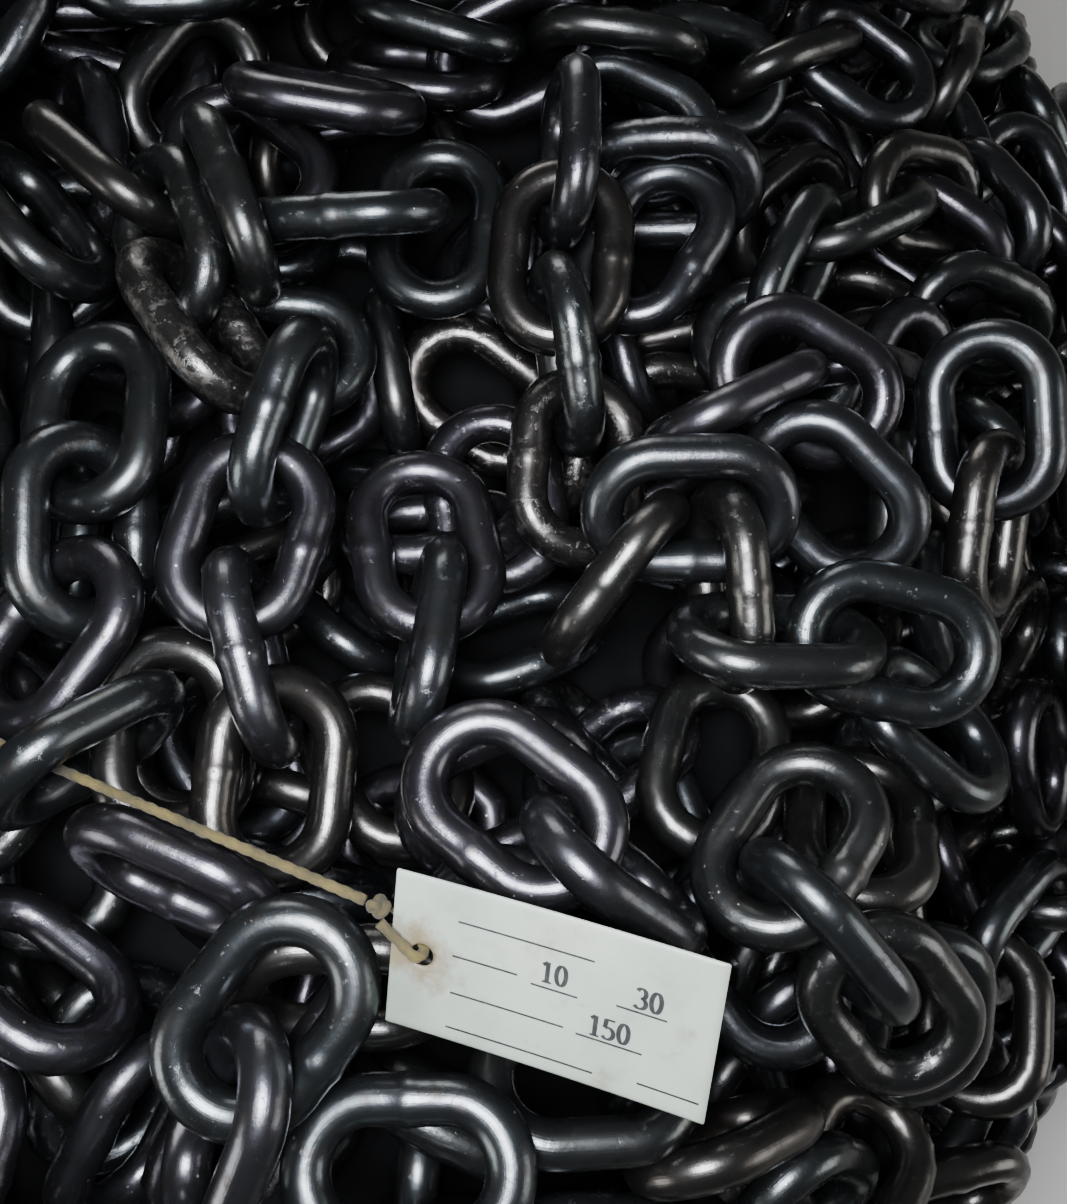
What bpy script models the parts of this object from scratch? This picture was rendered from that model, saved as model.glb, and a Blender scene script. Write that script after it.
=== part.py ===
"""Heap of short link steel chain, with the wired-on tag that says what it is.

The top of the heap is built link by link, where each link lies in the reference picture. The
links below and around them are one plain core. Metres, +Z up, the floor at z = 0 and the
middle of the heap at x = y = 0.
"""
import math

import bmesh
import bpy
import numpy as np
from mathutils import Vector
from mathutils.bvhtree import BVHTree
from mathutils.geometry import delaunay_2d_cdt

# The chain: round steel, bent and butt welded
WIRE = 0.010
PITCH = 0.030
EYE_WIDTH = 0.0155
JOINT_SLACK = 0.0012
WIRE_SIDES = 8
BOW_STEPS = 6

# The heap
HEAP_RADIUS = 0.420
HEAP_HEIGHT = 0.280
HEAP_FULLNESS = 4.0
# Rises and hollows of its surface: place across and along, height and spread
MOUNDS = (
    (0.190, -0.200, 0.022, 0.075),
    (0.160, -0.075, -0.018, 0.045),
)
CORE_STEP = 0.022
CORE_SECTORS = 56
# How far beside a link the core stays at its underside, and how steeply it may rise from there
CORE_REACH = 0.0264
CORE_SIDE_SLOPE = 0.8

# The strands over the sides and the back, whose upper sides shape the core's skin: how many
# places they start from, links in one, depth of their middles, how far two may press together,
# trials for each link, and how wide trials bend, rise and roll
COVER_SEED = 11
COVER_STARTS = 1500
COVER_LONGEST = 14
COVER_DEPTH = 0.010
COVER_PRESS = 0.0022
COVER_TRIALS = 12
COVER_BEND = 0.65
COVER_RISE = 0.22
COVER_ROLL = 0.30
# How far a link's middle may stand off that depth, and a strand's first joint
COVER_STRAY = 0.012
START_STRAY = 0.003
# How strongly a strand turns back to its depth, and what straying costs against pressing
COVER_RETURN = 0.35
STRAY_COST = 0.12
MOST_BEND = 1.4
MOST_RISE = 1.1
# The part of the picture plane that is kept free of them: left, right, top and bottom
FREE_FIELD = (-250, 1210, -150, 1400)
OUTLINE_STEPS = 4

# The least slope of the heap's formula that a depth is worked out with, near its flat top
LEAST_SLOPE = 0.63

# The core's relief outside that field: how deep the gaps between links go, the spacing that it
# is worked out at, the width left plain along the floor, how many faces stay, and the samples
# taken on each side of a link's outline
GAP_DEPTH = 0.022
RELIEF_STEP = 0.0045
RELIEF_EDGE = 0.008
RELIEF_FACES = 7400
SIDE_SAMPLES = 4

# The tag and its cord
TAG_LENGTH = 0.062
TAG_WIDTH = 0.0328
TAG_THICKNESS = 0.0008
TAG_HOLE = 0.0046
TAG_HOLE_INSET = 0.0062
CORD = 0.0022
KNOT = 0.0052
KNOT_SHARE = 0.22

# Space left between two pieces that touch
CLEARANCE = 0.0003

# Where the reference picture was taken from, and its lens in picture points
VIEWPOINT = np.array((0.165, -0.165, 0.527))
VIEW_PITCH = math.radians(75.0)
LENS = 1194.0
PICTURE_MIDDLE = (533.5, 602.0)

# Runs of chain that the picture shows. Each has a name, one turn per link in degrees (0 shows
# the link's face to the viewpoint, 90 its edge) and its joints, as picture across, picture down
# and lift above the heap's surface in millimetres.
RUNS = (
    ("west", (25, -28, 60), ((78, 326, 8), (66, 458, 6), (69, 590, 4), (-5, 685, 0))),
    ("left", (88, 5, 90, -20), ((283, 334, 14), (254, 450, 12), (214, 578, 10), (256, 722, 0), (244, 842, 0))),
    ("collar", (0,), ((218, 338, -12), (330, 344, -12))),
    ("diagonal", (-80, 25, -80), ((33, 90, 4), (130, 152, 6), (176, 268, 8), (230, 354, 4))),
    ("upper_left", (85,), ((190, 142, 10), (212, 250, 10))),
    ("far_left", (80,), ((-2, 182, 0), (92, 234, 0))),
    ("far_bar", (85,), ((268, 68, 8), (376, 74, 8))),
    ("far_arc", (20,), ((206, 108, -12), (283, 176, -10))),
    ("cradle", (80,), ((306, 200, 2), (408, 204, 4))),
    ("far_hoop", (10,), ((436, 152, -6), (431, 268, -12))),
    ("mid_left", (8,), ((396, 463, 4), (407, 582, 2))),
    ("mid_bow", (15,), ((496, 428, -14), (504, 546, -14))),
    ("far_middle", (85, 3, 88, 12), ((576, 62, 0), (569, 162, 8), (560, 286, 8), (577, 396, -4), (577, 520, -8))),
    ("far_bow", (20,), ((604, 100, -12), (676, 144, -12))),
    ("far_crook", (55,), ((690, 178, -6), (622, 272, -10))),
    ("shelf", (80,), ((698, 420, 10), (790, 382, -4))),
    ("shelf_ring", (10,), ((742, 362, 2), (848, 418, 2))),
    ("right_bow", (10,), ((800, 412, 12), (872, 504, 10))),
    ("brace", (25,), ((632, 490, 20), (764, 490, 20))),
    ("strut", (88,), ((721, 522, 12), (726, 640, -2))),
    ("sill", (-50,), ((688, 613, 8), (826, 617, 8))),
    ("east", (8, 88), ((1004, 332, 20), (1012, 460, 10), (985, 570, -4))),
    ("east_ring", (-5,), ((860, 616, 12), (992, 654, 18))),
    ("right_post", (75,), ((925, 668, 2), (965, 765, -10))),
    ("slash", (80,), ((650, 514, 14), (572, 606, 2))),
    ("drop", (85,), ((440, 612, 8), (408, 712, 2))),
    ("middle", (10, 85), ((450, 765, 12), (557, 862, 12), (660, 935, -4))),
    ("tag_rest", (25,), ((457, 916, -4), (607, 923, -4))),
    ("right_tall", (15,), ((838, 790, 8), (772, 900, 8))),
    ("right_run", (80, 5), ((783, 866, 12), (882, 976, 12), (976, 1106, 8))),
    ("right_ring", (5,), ((866, 795, -18), (872, 868, 0))),
    ("tag_side", (15,), ((734, 922, -22), (798, 1014, -20))),
    ("near_left", (12, 85), ((303, 957, 12), (222, 1075, 12), (212, 1205, 0))),
    ("near_bar", (85,), ((298, 984, -4), (420, 958, -14))),
    ("near_arch", (10,), ((324, 1180, 12), (478, 1180, 12))),
    ("tag_foot", (-25,), ((530, 1085, -4), (655, 1078, -4))),
    ("elbow", (5,), ((152, 796, -14), (158, 678, -14))),
    ("rail", (85,), ((162, 696, 4), (78, 782, 0))),
    ("under_cord", (80,), ((128, 850, 2), (205, 935, 2))),
    ("cord_end", (30,), ((-85, 700, 4), (-95, 825, 4))),
)

# The tag in the picture: its middle, how its long side slopes, how far its lower side and its
# left end are turned away from the viewpoint, and its lift above the heap's surface
TAG_MIDDLE = (548, 993)
TAG_SLOPE = math.radians(-16.4)
TAG_LEAN = math.radians(-36.4)
TAG_TIP = math.radians(12.2)
TAG_LIFT = 0.020

# The link that the cord is tied to, one of the runs above
CORD_RUN = "cord_end"

# Rounds of pushing the links apart, how firmly each is held to its place, and of sinking them
SEAT_ROUNDS = 160
SEAT_HOLD = 0.08
SETTLE_ROUNDS = 120
SETTLE_DROP = 0.0002


def unit(vectors):
    """The same directions at length one, along the last axis."""
    return vectors / np.maximum(np.linalg.norm(vectors, axis=-1, keepdims=True), 1e-12)


def heap_surface(across, along):
    """Height of the heap's surface over plan positions, which falls ever steeper to its rim."""
    share = np.minimum(np.hypot(across, along) / HEAP_RADIUS, 1.0)
    return HEAP_HEIGHT * np.sqrt(1.0 - share ** HEAP_FULLNESS) + mounds(across, along)


def mounds(across, along):
    """How far the surface's own rises and hollows lift it over plan positions."""
    lift = 0.0
    for place_x, place_y, height, spread in MOUNDS:
        away = (across - place_x) ** 2 + (along - place_y) ** 2
        lift = lift + height * np.exp(-0.5 * away / spread ** 2)
    return lift


def sight_line(across, down):
    """Unit direction from the viewpoint through a picture position."""
    forward = np.array((0.0, math.cos(VIEW_PITCH), -math.sin(VIEW_PITCH)))
    upward = np.array((0.0, math.sin(VIEW_PITCH), math.cos(VIEW_PITCH)))
    sideways = np.array((1.0, 0.0, 0.0))
    right = (across - PICTURE_MIDDLE[0]) / LENS
    up = (PICTURE_MIDDLE[1] - down) / LENS
    return unit(forward + right * sideways + up * upward)


def on_heap(across, down, lift):
    """The point behind a picture position that lies a given lift above the heap's surface."""
    direction = sight_line(across, down)
    near = 0.0
    far = VIEWPOINT[2] / -direction[2]
    for _ in range(40):
        middle = 0.5 * (near + far)
        point = VIEWPOINT + direction * middle
        if point[2] > heap_surface(point[0], point[1]) + lift:
            near = middle
        else:
            far = middle
    return VIEWPOINT + direction * near


def link_centreline(bow_steps):
    """Corners of a link's centreline in its own frame: long side along x, flat in x and y."""
    bow_radius = 0.5 * (EYE_WIDTH + WIRE)
    bow_middle = 0.5 * (PITCH + WIRE) - bow_radius
    points = []
    for end in (1, -1):
        for step in range(bow_steps + 1):
            angle = math.pi * (step / bow_steps - 0.5)
            along = end * (bow_middle + bow_radius * math.cos(angle))
            points.append((along, end * bow_radius * math.sin(angle), 0.0))
    return np.array(points)


CENTRELINE = link_centreline(BOW_STEPS)
OUTLINE = np.vstack((link_centreline(OUTLINE_STEPS), link_centreline(OUTLINE_STEPS)[:1]))


def link_frames():
    """Name, middle and frame of every link as the picture shows it, before they are seated.

    A frame's columns are the link's long side, its width and the way its face looks.
    """
    names = []
    middles = []
    frames = []
    spacing = PITCH - JOINT_SLACK
    for name, turns, picks in RUNS:
        joints = [on_heap(across, down, lift / 1000.0) for across, down, lift in picks]
        centre_joint = len(joints) // 2
        for index in range(centre_joint, len(joints) - 1):
            joints[index + 1] = joints[index] + spacing * unit(joints[index + 1] - joints[index])
        for index in range(centre_joint, 0, -1):
            joints[index - 1] = joints[index] + spacing * unit(joints[index - 1] - joints[index])
        for index, turn in enumerate(turns):
            middle = 0.5 * (joints[index] + joints[index + 1])
            long_side = unit(joints[index + 1] - joints[index])
            to_view = unit(VIEWPOINT - middle)
            facing = unit(to_view - long_side * np.dot(to_view, long_side))
            angle = math.radians(turn)
            face = facing * math.cos(angle) + np.cross(long_side, facing) * math.sin(angle)
            names.append(f"{name}_link_{index + 1}")
            middles.append(middle)
            frames.append(np.stack((long_side, np.cross(face, long_side), face), axis=1))
    return names, np.array(middles), np.array(frames)


def nearest_on_segments(start_a, run_a, start_b, run_b):
    """Where two sets of segments come nearest, as shares along each."""
    offset = start_a - start_b
    aa = np.sum(run_a * run_a, axis=-1)
    ab = np.sum(run_a * run_b, axis=-1)
    bb = np.sum(run_b * run_b, axis=-1)
    ao = np.sum(run_a * offset, axis=-1)
    bo = np.sum(run_b * offset, axis=-1)
    spread = np.maximum(aa * bb - ab * ab, 1e-16)
    share_a = np.clip((ab * bo - bb * ao) / spread, 0.0, 1.0)
    share_b = np.clip((ab * share_a + bo) / bb, 0.0, 1.0)
    share_a = np.clip((ab * share_b - ao) / aa, 0.0, 1.0)
    return share_a, share_b


def deepest_contacts(corners_a, corners_b, reach):
    """For each pair of outlines, the points that come nearest, with how far inside reach they are.

    corners_a and corners_b hold one open or closed outline per pair, as segment corners.
    """
    start_a = corners_a[:, :-1, None, :]
    run_a = corners_a[:, 1:, None, :] - start_a
    start_b = corners_b[:, None, :-1, :]
    run_b = corners_b[:, None, 1:, :] - start_b
    share_a, share_b = nearest_on_segments(start_a, run_a, start_b, run_b)
    points_a = start_a + run_a * share_a[..., None]
    points_b = start_b + run_b * share_b[..., None]
    apart = np.linalg.norm(points_a - points_b, axis=-1)
    count = len(apart)
    nearest = np.argmin(apart.reshape(count, -1), axis=1)
    rows = np.arange(count)
    point_a = points_a.reshape(count, -1, 3)[rows, nearest]
    point_b = points_b.reshape(count, -1, 3)[rows, nearest]
    return point_a, point_b, reach - apart.reshape(count, -1)[rows, nearest]


class Seating:
    """Links as rigid outlines that push each other apart until none overlaps."""

    def __init__(self, middles, frames):
        self.middles = middles.copy()
        self.frames = frames.copy()
        self.wanted_middles = middles.copy()
        self.wanted_frames = frames.copy()
        spread = np.mean(CENTRELINE[:, :, None] * CENTRELINE[:, None, :], axis=0)
        self.inertia = np.trace(spread) * np.eye(3) - spread
        self.turning = np.linalg.inv(self.inertia)

    def corners(self):
        """World corners of every link's closed centreline."""
        outline = np.vstack((CENTRELINE, CENTRELINE[:1]))
        return self.middles[:, None, :] + np.einsum("nij,kj->nki", self.frames, outline)

    def apply(self, owner, point, push, share):
        """Add up the moves that push link owners by given vectors at given points."""
        distance = np.linalg.norm(push, axis=-1, keepdims=True)
        direction = push / np.maximum(distance, 1e-12)
        arm = np.cross(point - self.middles[owner], direction)
        local_arm = np.einsum("nji,nj->ni", self.frames[owner], arm)
        turned = np.einsum("nij,nj->ni", self.frames[owner], local_arm @ self.turning.T)
        ease = 1.0 + np.sum(arm * turned, axis=-1, keepdims=True)
        amount = share * distance / ease
        np.add.at(self.shift, owner, amount * direction)
        np.add.at(self.turn, owner, amount * turned)
        np.add.at(self.count, owner, 1.0)

    def step(self, hold, drop, obstacles, core):
        """One round: hold the links to their places, let them sink, and push overlaps apart."""
        links = len(self.middles)
        self.shift = np.zeros((links, 3))
        self.turn = np.zeros((links, 3))
        self.count = np.zeros(links)
        corners = self.corners()
        gaps = np.linalg.norm(self.middles[:, None] - self.middles[None], axis=-1)
        first, second = np.nonzero(np.triu(gaps < PITCH + 3.0 * WIRE, 1))
        reach = WIRE + CLEARANCE
        point_a, point_b, depth = deepest_contacts(corners[first], corners[second], reach)
        hit = depth > 0.0
        push = unit(point_a[hit] - point_b[hit]) * depth[hit, None]
        self.apply(first[hit], point_a[hit], push, 0.5)
        self.apply(second[hit], point_b[hit], -push, 0.5)
        for outline, radius in obstacles:
            fixed = np.broadcast_to(outline, (links, *outline.shape))
            point_a, point_b, depth = deepest_contacts(corners, fixed, 0.5 * WIRE + radius + CLEARANCE)
            owner = np.nonzero(depth > 0.0)[0]
            push = unit(point_a[owner] - point_b[owner]) * depth[owner, None]
            self.apply(owner, point_a[owner], push, 1.0)
        if core is not None:
            self.push_off_core(corners, core)
        ease = np.maximum(self.count, 1.0)[:, None] ** 0.7
        self.middles += self.shift / ease + hold * (self.wanted_middles - self.middles)
        self.middles[:, 2] -= drop
        back = 0.5 * np.sum(np.cross(self.frames, self.wanted_frames, axis=1), axis=2)
        self.rotate(self.turn / ease + hold * back)

    def push_off_core(self, corners, core):
        """Keep every link clear of the core by its nearest corner or middle of a side."""
        samples = np.concatenate((corners[:, :-1], 0.5 * (corners[:, 1:] + corners[:, :-1])), axis=1)
        for owner in range(len(samples)):
            for sample in samples[owner]:
                place, normal, _, _ = core.find_nearest(Vector(sample), 2.0 * WIRE)
                if place is None:
                    continue
                above = (Vector(sample) - place).dot(normal)
                depth = 0.5 * WIRE + CLEARANCE - above
                if depth > 0.0:
                    push = np.array(normal)[None] * depth
                    self.apply(np.array((owner,)), sample[None], push, 1.0)

    def rotate(self, turn):
        """Turn each frame by a rotation vector, and keep it square."""
        angle = np.linalg.norm(turn, axis=-1)
        axis = turn / np.maximum(angle, 1e-12)[:, None]
        cross = np.zeros((len(turn), 3, 3))
        cross[:, 0, 1] = -axis[:, 2]
        cross[:, 0, 2] = axis[:, 1]
        cross[:, 1, 0] = axis[:, 2]
        cross[:, 1, 2] = -axis[:, 0]
        cross[:, 2, 0] = -axis[:, 1]
        cross[:, 2, 1] = axis[:, 0]
        sine = np.sin(angle)[:, None, None]
        cosine = np.cos(angle)[:, None, None]
        turned = (np.eye(3) + sine * cross + (1.0 - cosine) * (cross @ cross)) @ self.frames
        left, _, right = np.linalg.svd(turned)
        self.frames = left @ right


def depth_and_outward(points):
    """How deep points lie under the heap's skin, and the way out from there."""
    x, y = points[..., 0], points[..., 1]
    height = np.maximum(points[..., 2] - mounds(x, y), 0.0)
    share = (x ** 2 + y ** 2) / HEAP_RADIUS ** 2
    value = share ** (0.5 * HEAP_FULLNESS) + (height / HEAP_HEIGHT) ** 2
    side = HEAP_FULLNESS * share ** (0.5 * HEAP_FULLNESS - 1.0) / HEAP_RADIUS ** 2
    slope = np.stack((side * x, side * y, 2.0 * height / HEAP_HEIGHT ** 2), axis=-1)
    steepness = np.linalg.norm(slope, axis=-1)
    return (1.0 - value) / np.maximum(steepness, LEAST_SLOPE / HEAP_RADIUS), unit(slope)


def in_free_field(point):
    """Whether a point shows in the part of the picture plane that is kept free of cover links."""
    offset = point - VIEWPOINT
    ahead = offset[1] * math.cos(VIEW_PITCH) - offset[2] * math.sin(VIEW_PITCH)
    up = offset[1] * math.sin(VIEW_PITCH) + offset[2] * math.cos(VIEW_PITCH)
    across = PICTURE_MIDDLE[0] + LENS * offset[0] / ahead
    down = PICTURE_MIDDLE[1] - LENS * up / ahead
    left, right, top, bottom = FREE_FIELD
    return ahead > 0.0 and left < across < right and top < down < bottom


def frames_along(headings, rolls, outward):
    """Frames with their long sides along the headings and their faces rolled from the way out."""
    level = unit(outward - headings * np.sum(headings * outward, axis=-1, keepdims=True))
    sideways = np.cross(level, headings)
    face = level * np.cos(rolls)[:, None] + sideways * np.sin(rolls)[:, None]
    return np.stack((headings, np.cross(face, headings), face), axis=-1)


class Cover:
    """Strands of chain laid one link after another over the heap's sides and back."""

    def __init__(self):
        self.chance = np.random.default_rng(COVER_SEED)
        self.middles = np.zeros((0, 3))
        self.frames = np.zeros((0, 3, 3))
        self.corners = np.zeros((0, len(OUTLINE), 3))

    def deepest_press(self, middles, frames, skip):
        """How far each trial presses into the laid links, at its worst."""
        corners = middles[:, None, :] + np.einsum("nij,kj->nki", frames, OUTLINE)
        away = np.linalg.norm(self.middles - middles.mean(axis=0), axis=1)
        close = away < PITCH + 3.0 * WIRE
        if skip is not None:
            close[skip] = False
        others = self.corners[close]
        if len(others) == 0:
            return np.full(len(corners), -WIRE)
        left = np.repeat(corners, len(others), axis=0)
        right = np.tile(others, (len(corners), 1, 1))
        _, _, depth = deepest_contacts(left, right, WIRE)
        return np.max(depth.reshape(len(corners), -1), axis=1)

    def lay_strand(self, joint, heading, roll):
        """Lay links from a joint on, each the best of a few trials, until none fits."""
        skip = None
        spacing = PITCH - JOINT_SLACK
        for _ in range(COVER_LONGEST):
            depth, outward = depth_and_outward(joint)
            bend = self.chance.normal(0.0, COVER_BEND, COVER_TRIALS)
            bend = np.clip(bend, -MOST_BEND, MOST_BEND)
            rise = self.chance.normal(0.0, COVER_RISE, COVER_TRIALS)
            rise = rise + COVER_RETURN * np.clip((depth - COVER_DEPTH) / COVER_STRAY, -1.5, 1.5)
            flat = unit(heading - outward * np.dot(heading, outward))
            across = np.cross(outward, flat)
            headings = flat * np.cos(bend)[:, None] + across * np.sin(bend)[:, None]
            headings = unit(headings + outward * np.tan(np.clip(rise, -MOST_RISE, MOST_RISE))[:, None])
            rolls = roll + 0.5 * math.pi + self.chance.normal(0.0, COVER_ROLL, COVER_TRIALS)
            frames = frames_along(headings, rolls, outward)
            middles = joint + headings * (0.5 * spacing)
            lowest = np.min(middles[:, None, 2] + frames[:, 2] @ OUTLINE.T, axis=1)
            off_layer = np.abs(depth_and_outward(middles)[0] - COVER_DEPTH)
            press = self.deepest_press(middles, frames, skip)
            cost = np.maximum(press, 0.0) + STRAY_COST * off_layer + 2.0 * WIRE * (lowest < 0.5 * WIRE)
            best = int(np.argmin(cost))
            fits = press[best] < COVER_PRESS and off_layer[best] < COVER_STRAY
            fits = fits and lowest[best] >= 0.5 * WIRE
            if not fits or in_free_field(middles[best]):
                return
            skip = len(self.middles)
            self.middles = np.vstack((self.middles, middles[best]))
            self.frames = np.concatenate((self.frames, frames[best][None]))
            placed = middles[best] + OUTLINE @ frames[best].T
            self.corners = np.concatenate((self.corners, placed[None]))
            joint = joint + headings[best] * spacing
            heading = headings[best]
            roll = rolls[best]

    def lay(self):
        """Start strands all over the dome."""
        for _ in range(COVER_STARTS):
            point = self.chance.uniform(-1.0, 1.0, 3) * (HEAP_RADIUS, HEAP_RADIUS, 0.5 * HEAP_HEIGHT)
            point[2] += 0.6 * HEAP_HEIGHT
            for _ in range(4):
                depth, outward = depth_and_outward(point)
                point = point + outward * (depth - COVER_DEPTH)
            spread = self.chance.normal(0.0, 1.0, 3)
            roll = self.chance.uniform(0.0, math.pi)
            if abs(depth_and_outward(point)[0] - COVER_DEPTH) < START_STRAY and point[2] > WIRE:
                self.lay_strand(point, unit(np.cross(outward, spread)), roll)


def side_walk():
    """Angles down the heap's side and the distance walked to each from the top."""
    angle = np.linspace(0.0, 0.5 * math.pi, 400)
    radius = HEAP_RADIUS * np.sin(angle) ** (2.0 / HEAP_FULLNESS)
    height = HEAP_HEIGHT * np.cos(angle)
    walked = np.concatenate(((0.0,), np.cumsum(np.hypot(np.diff(radius), np.diff(height)))))
    return angle, walked


SIDE_ANGLE, SIDE_WALKED = side_walk()


def unrolled(points):
    """Places of points on the dome laid flat, where distance down the side is kept."""
    height = np.maximum(points[..., 2] - mounds(points[..., 0], points[..., 1]), 0.0)
    share = np.linalg.norm(points[..., :2], axis=-1) / HEAP_RADIUS
    angle = np.arctan2(share ** (0.5 * HEAP_FULLNESS), height / HEAP_HEIGHT)
    walked = np.interp(angle, SIDE_ANGLE, SIDE_WALKED)
    return unit(points[..., :2]) * walked[..., None]


def rolled_on(places):
    """Points of the heap's smooth skin at places on the dome laid flat."""
    walked = np.linalg.norm(places, axis=-1)
    angle = np.interp(walked, SIDE_WALKED, SIDE_ANGLE)
    plan = unit(places) * (HEAP_RADIUS * np.sin(angle) ** (2.0 / HEAP_FULLNESS))[..., None]
    height = HEAP_HEIGHT * np.cos(angle) + mounds(plan[..., 0], plan[..., 1])
    return np.concatenate((plan, height[..., None]), axis=-1)


def cover_depths(cover, grid_side, step):
    """Depth of the upper envelope of the cover links over a square grid of the flat dome."""
    depths = np.full((grid_side, grid_side), GAP_DEPTH)
    shares = np.arange(SIDE_SAMPLES)[:, None] / SIDE_SAMPLES
    starts = cover.corners[:, :-1, None, :]
    runs = cover.corners[:, 1:, None, :] - starts
    samples = (starts + runs * shares).reshape(-1, 3)
    places = unrolled(samples)
    walked = np.linalg.norm(places, axis=1, keepdims=True)
    radial = places / np.maximum(walked, step)
    squeeze = np.hypot(samples[:, 0], samples[:, 1]) / np.maximum(walked[:, 0], step)
    sample_depth = depth_and_outward(samples)[0]
    cells = np.round(places / step).astype(int)
    for across in (-2, -1, 0, 1, 2):
        for along in (-2, -1, 0, 1, 2):
            target = cells + (across, along)
            offset = target * step - places
            down = np.sum(offset * radial, axis=1)
            round_about = (offset[:, 1] * radial[:, 0] - offset[:, 0] * radial[:, 1]) * squeeze
            under = (0.5 * WIRE) ** 2 - down ** 2 - round_about ** 2
            top = sample_depth - np.sqrt(np.maximum(under, 0.0))
            index = np.clip(target + grid_side // 2, 0, grid_side - 1)
            hit = under > 0.0
            np.minimum.at(depths, (index[hit, 0], index[hit, 1]), np.maximum(top[hit], 0.0))
    return depths


def relief_points():
    """The corners that the relief needs most, as points outside the free field."""
    cover = Cover()
    cover.lay()
    reach = SIDE_WALKED[-1] - RELIEF_EDGE
    half = int(reach / RELIEF_STEP) + 1
    grid_side = 2 * half + 1
    depths = cover_depths(cover, grid_side, RELIEF_STEP)
    steps = (np.arange(grid_side) - half) * RELIEF_STEP
    places = np.stack(np.meshgrid(steps, steps, indexing="ij"), axis=-1)
    skin = rolled_on(places)
    used = np.linalg.norm(places, axis=-1) < reach
    free = np.array([[in_free_field(point) for point in row] for row in skin])
    used &= ~free
    number = np.cumsum(used.ravel()).reshape(used.shape) - 1
    corners = (used[:-1, :-1] & used[1:, :-1] & used[1:, 1:] & used[:-1, 1:])
    faces = np.stack((number[:-1, :-1], number[1:, :-1], number[1:, 1:], number[:-1, 1:]), axis=-1)[corners]
    flat = np.concatenate((places[used], -depths[used][:, None]), axis=1)
    mesh = bpy.data.meshes.new("relief")
    mesh.from_pydata(flat.tolist(), [], faces.tolist())
    holder = bpy.data.objects.new("relief", mesh)
    bpy.context.collection.objects.link(holder)
    thinning = holder.modifiers.new("fewer_faces", "DECIMATE")
    thinning.ratio = RELIEF_FACES / (2.0 * len(faces))
    thinned = holder.evaluated_get(bpy.context.evaluated_depsgraph_get()).to_mesh()
    kept = np.empty(3 * len(thinned.vertices))
    thinned.vertices.foreach_get("co", kept)
    bpy.data.objects.remove(holder, do_unlink=True)
    kept = kept.reshape(-1, 3)
    smooth = rolled_on(kept[:, :2])
    _, outward = depth_and_outward(smooth)
    points = smooth + outward * np.minimum(kept[:, 2], 0.0)[:, None]
    points[:, 2] = np.maximum(points[:, 2], 0.5 * RELIEF_EDGE)
    return points


def core_mesh(corners):
    """Corners and faces of the core: plain under the seen links, with the cover's relief elsewhere.

    Its corners lie on the dome laid flat, where the nearest ones are joined to triangles.
    """
    stops = np.linspace(0.0, SIDE_WALKED[-1], round(SIDE_WALKED[-1] / CORE_STEP) + 1)[1:]
    angle = np.linspace(0.0, 2.0 * math.pi, CORE_SECTORS, endpoint=False)
    directions = np.stack((np.cos(angle), np.sin(angle)), axis=-1)
    rings = (stops[:-1, None, None] * directions).reshape(-1, 2)
    plain = np.vstack(((0.0, 0.0, rolled_on(np.zeros(2))[2]), rolled_on(rings)))
    plain = plain[[in_free_field(point) for point in plain]]
    rim = np.concatenate((HEAP_RADIUS * directions, np.zeros((CORE_SECTORS, 1))), axis=1)
    vertices = np.concatenate((rim, plain, relief_points()))
    middles = 0.5 * (corners[:, 1:] + corners[:, :-1])
    samples = np.concatenate((corners[:, :-1], middles), axis=1).reshape(-1, 3)
    away = np.linalg.norm(vertices[:, None, :2] - samples[None, :, :2], axis=-1)
    beyond = away - CORE_REACH
    rise = CORE_SIDE_SLOPE * np.maximum(beyond, 0.0)
    limit = np.min(samples[:, 2] - 0.5 * WIRE - CLEARANCE + rise, axis=1)
    under_link = np.min(beyond, axis=1) < 0.0
    level = np.where(under_link, limit, np.minimum(vertices[:, 2], limit))
    places = unrolled(vertices)
    vertices[CORE_SECTORS:, 2] = level[CORE_SECTORS:]
    _, _, faces, sources, _, _ = delaunay_2d_cdt([Vector(place) for place in places], [], [], 0, 1e-6)
    assert all(len(source) == 1 for source in sources)
    order = np.array([source[0] for source in sources])
    faces = order[np.array(faces)]
    first, second, third = (places[faces[:, corner]] for corner in range(3))
    turn = (second - first)[:, 0] * (third - first)[:, 1] - (second - first)[:, 1] * (third - first)[:, 0]
    faces[turn < 0.0] = faces[turn < 0.0][:, ::-1]
    return vertices, [tuple(face) for face in faces.tolist()] + [tuple(reversed(range(CORE_SECTORS)))]


def add_object(name, vertices, faces, material, smooth_angle=None):
    """One object from corners and faces, with its material."""
    mesh = bpy.data.meshes.new(name)
    mesh.from_pydata([tuple(vertex) for vertex in vertices], [], faces)
    mesh.materials.append(material)
    if smooth_angle is not None:
        mesh.shade_smooth()
        mesh.set_sharp_from_angle(angle=smooth_angle)
    mesh.validate()
    made = bpy.data.objects.new(name, mesh)
    bpy.context.collection.objects.link(made)
    return made


def add_material(name, colour, roughness, metallic):
    """A Principled BSDF material."""
    material = bpy.data.materials.new(name)
    material.use_nodes = True
    shader = material.node_tree.nodes["Principled BSDF"]
    shader.inputs["Base Color"].default_value = (*colour, 1.0)
    shader.inputs["Roughness"].default_value = roughness
    shader.inputs["Metallic"].default_value = metallic
    return material


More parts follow.
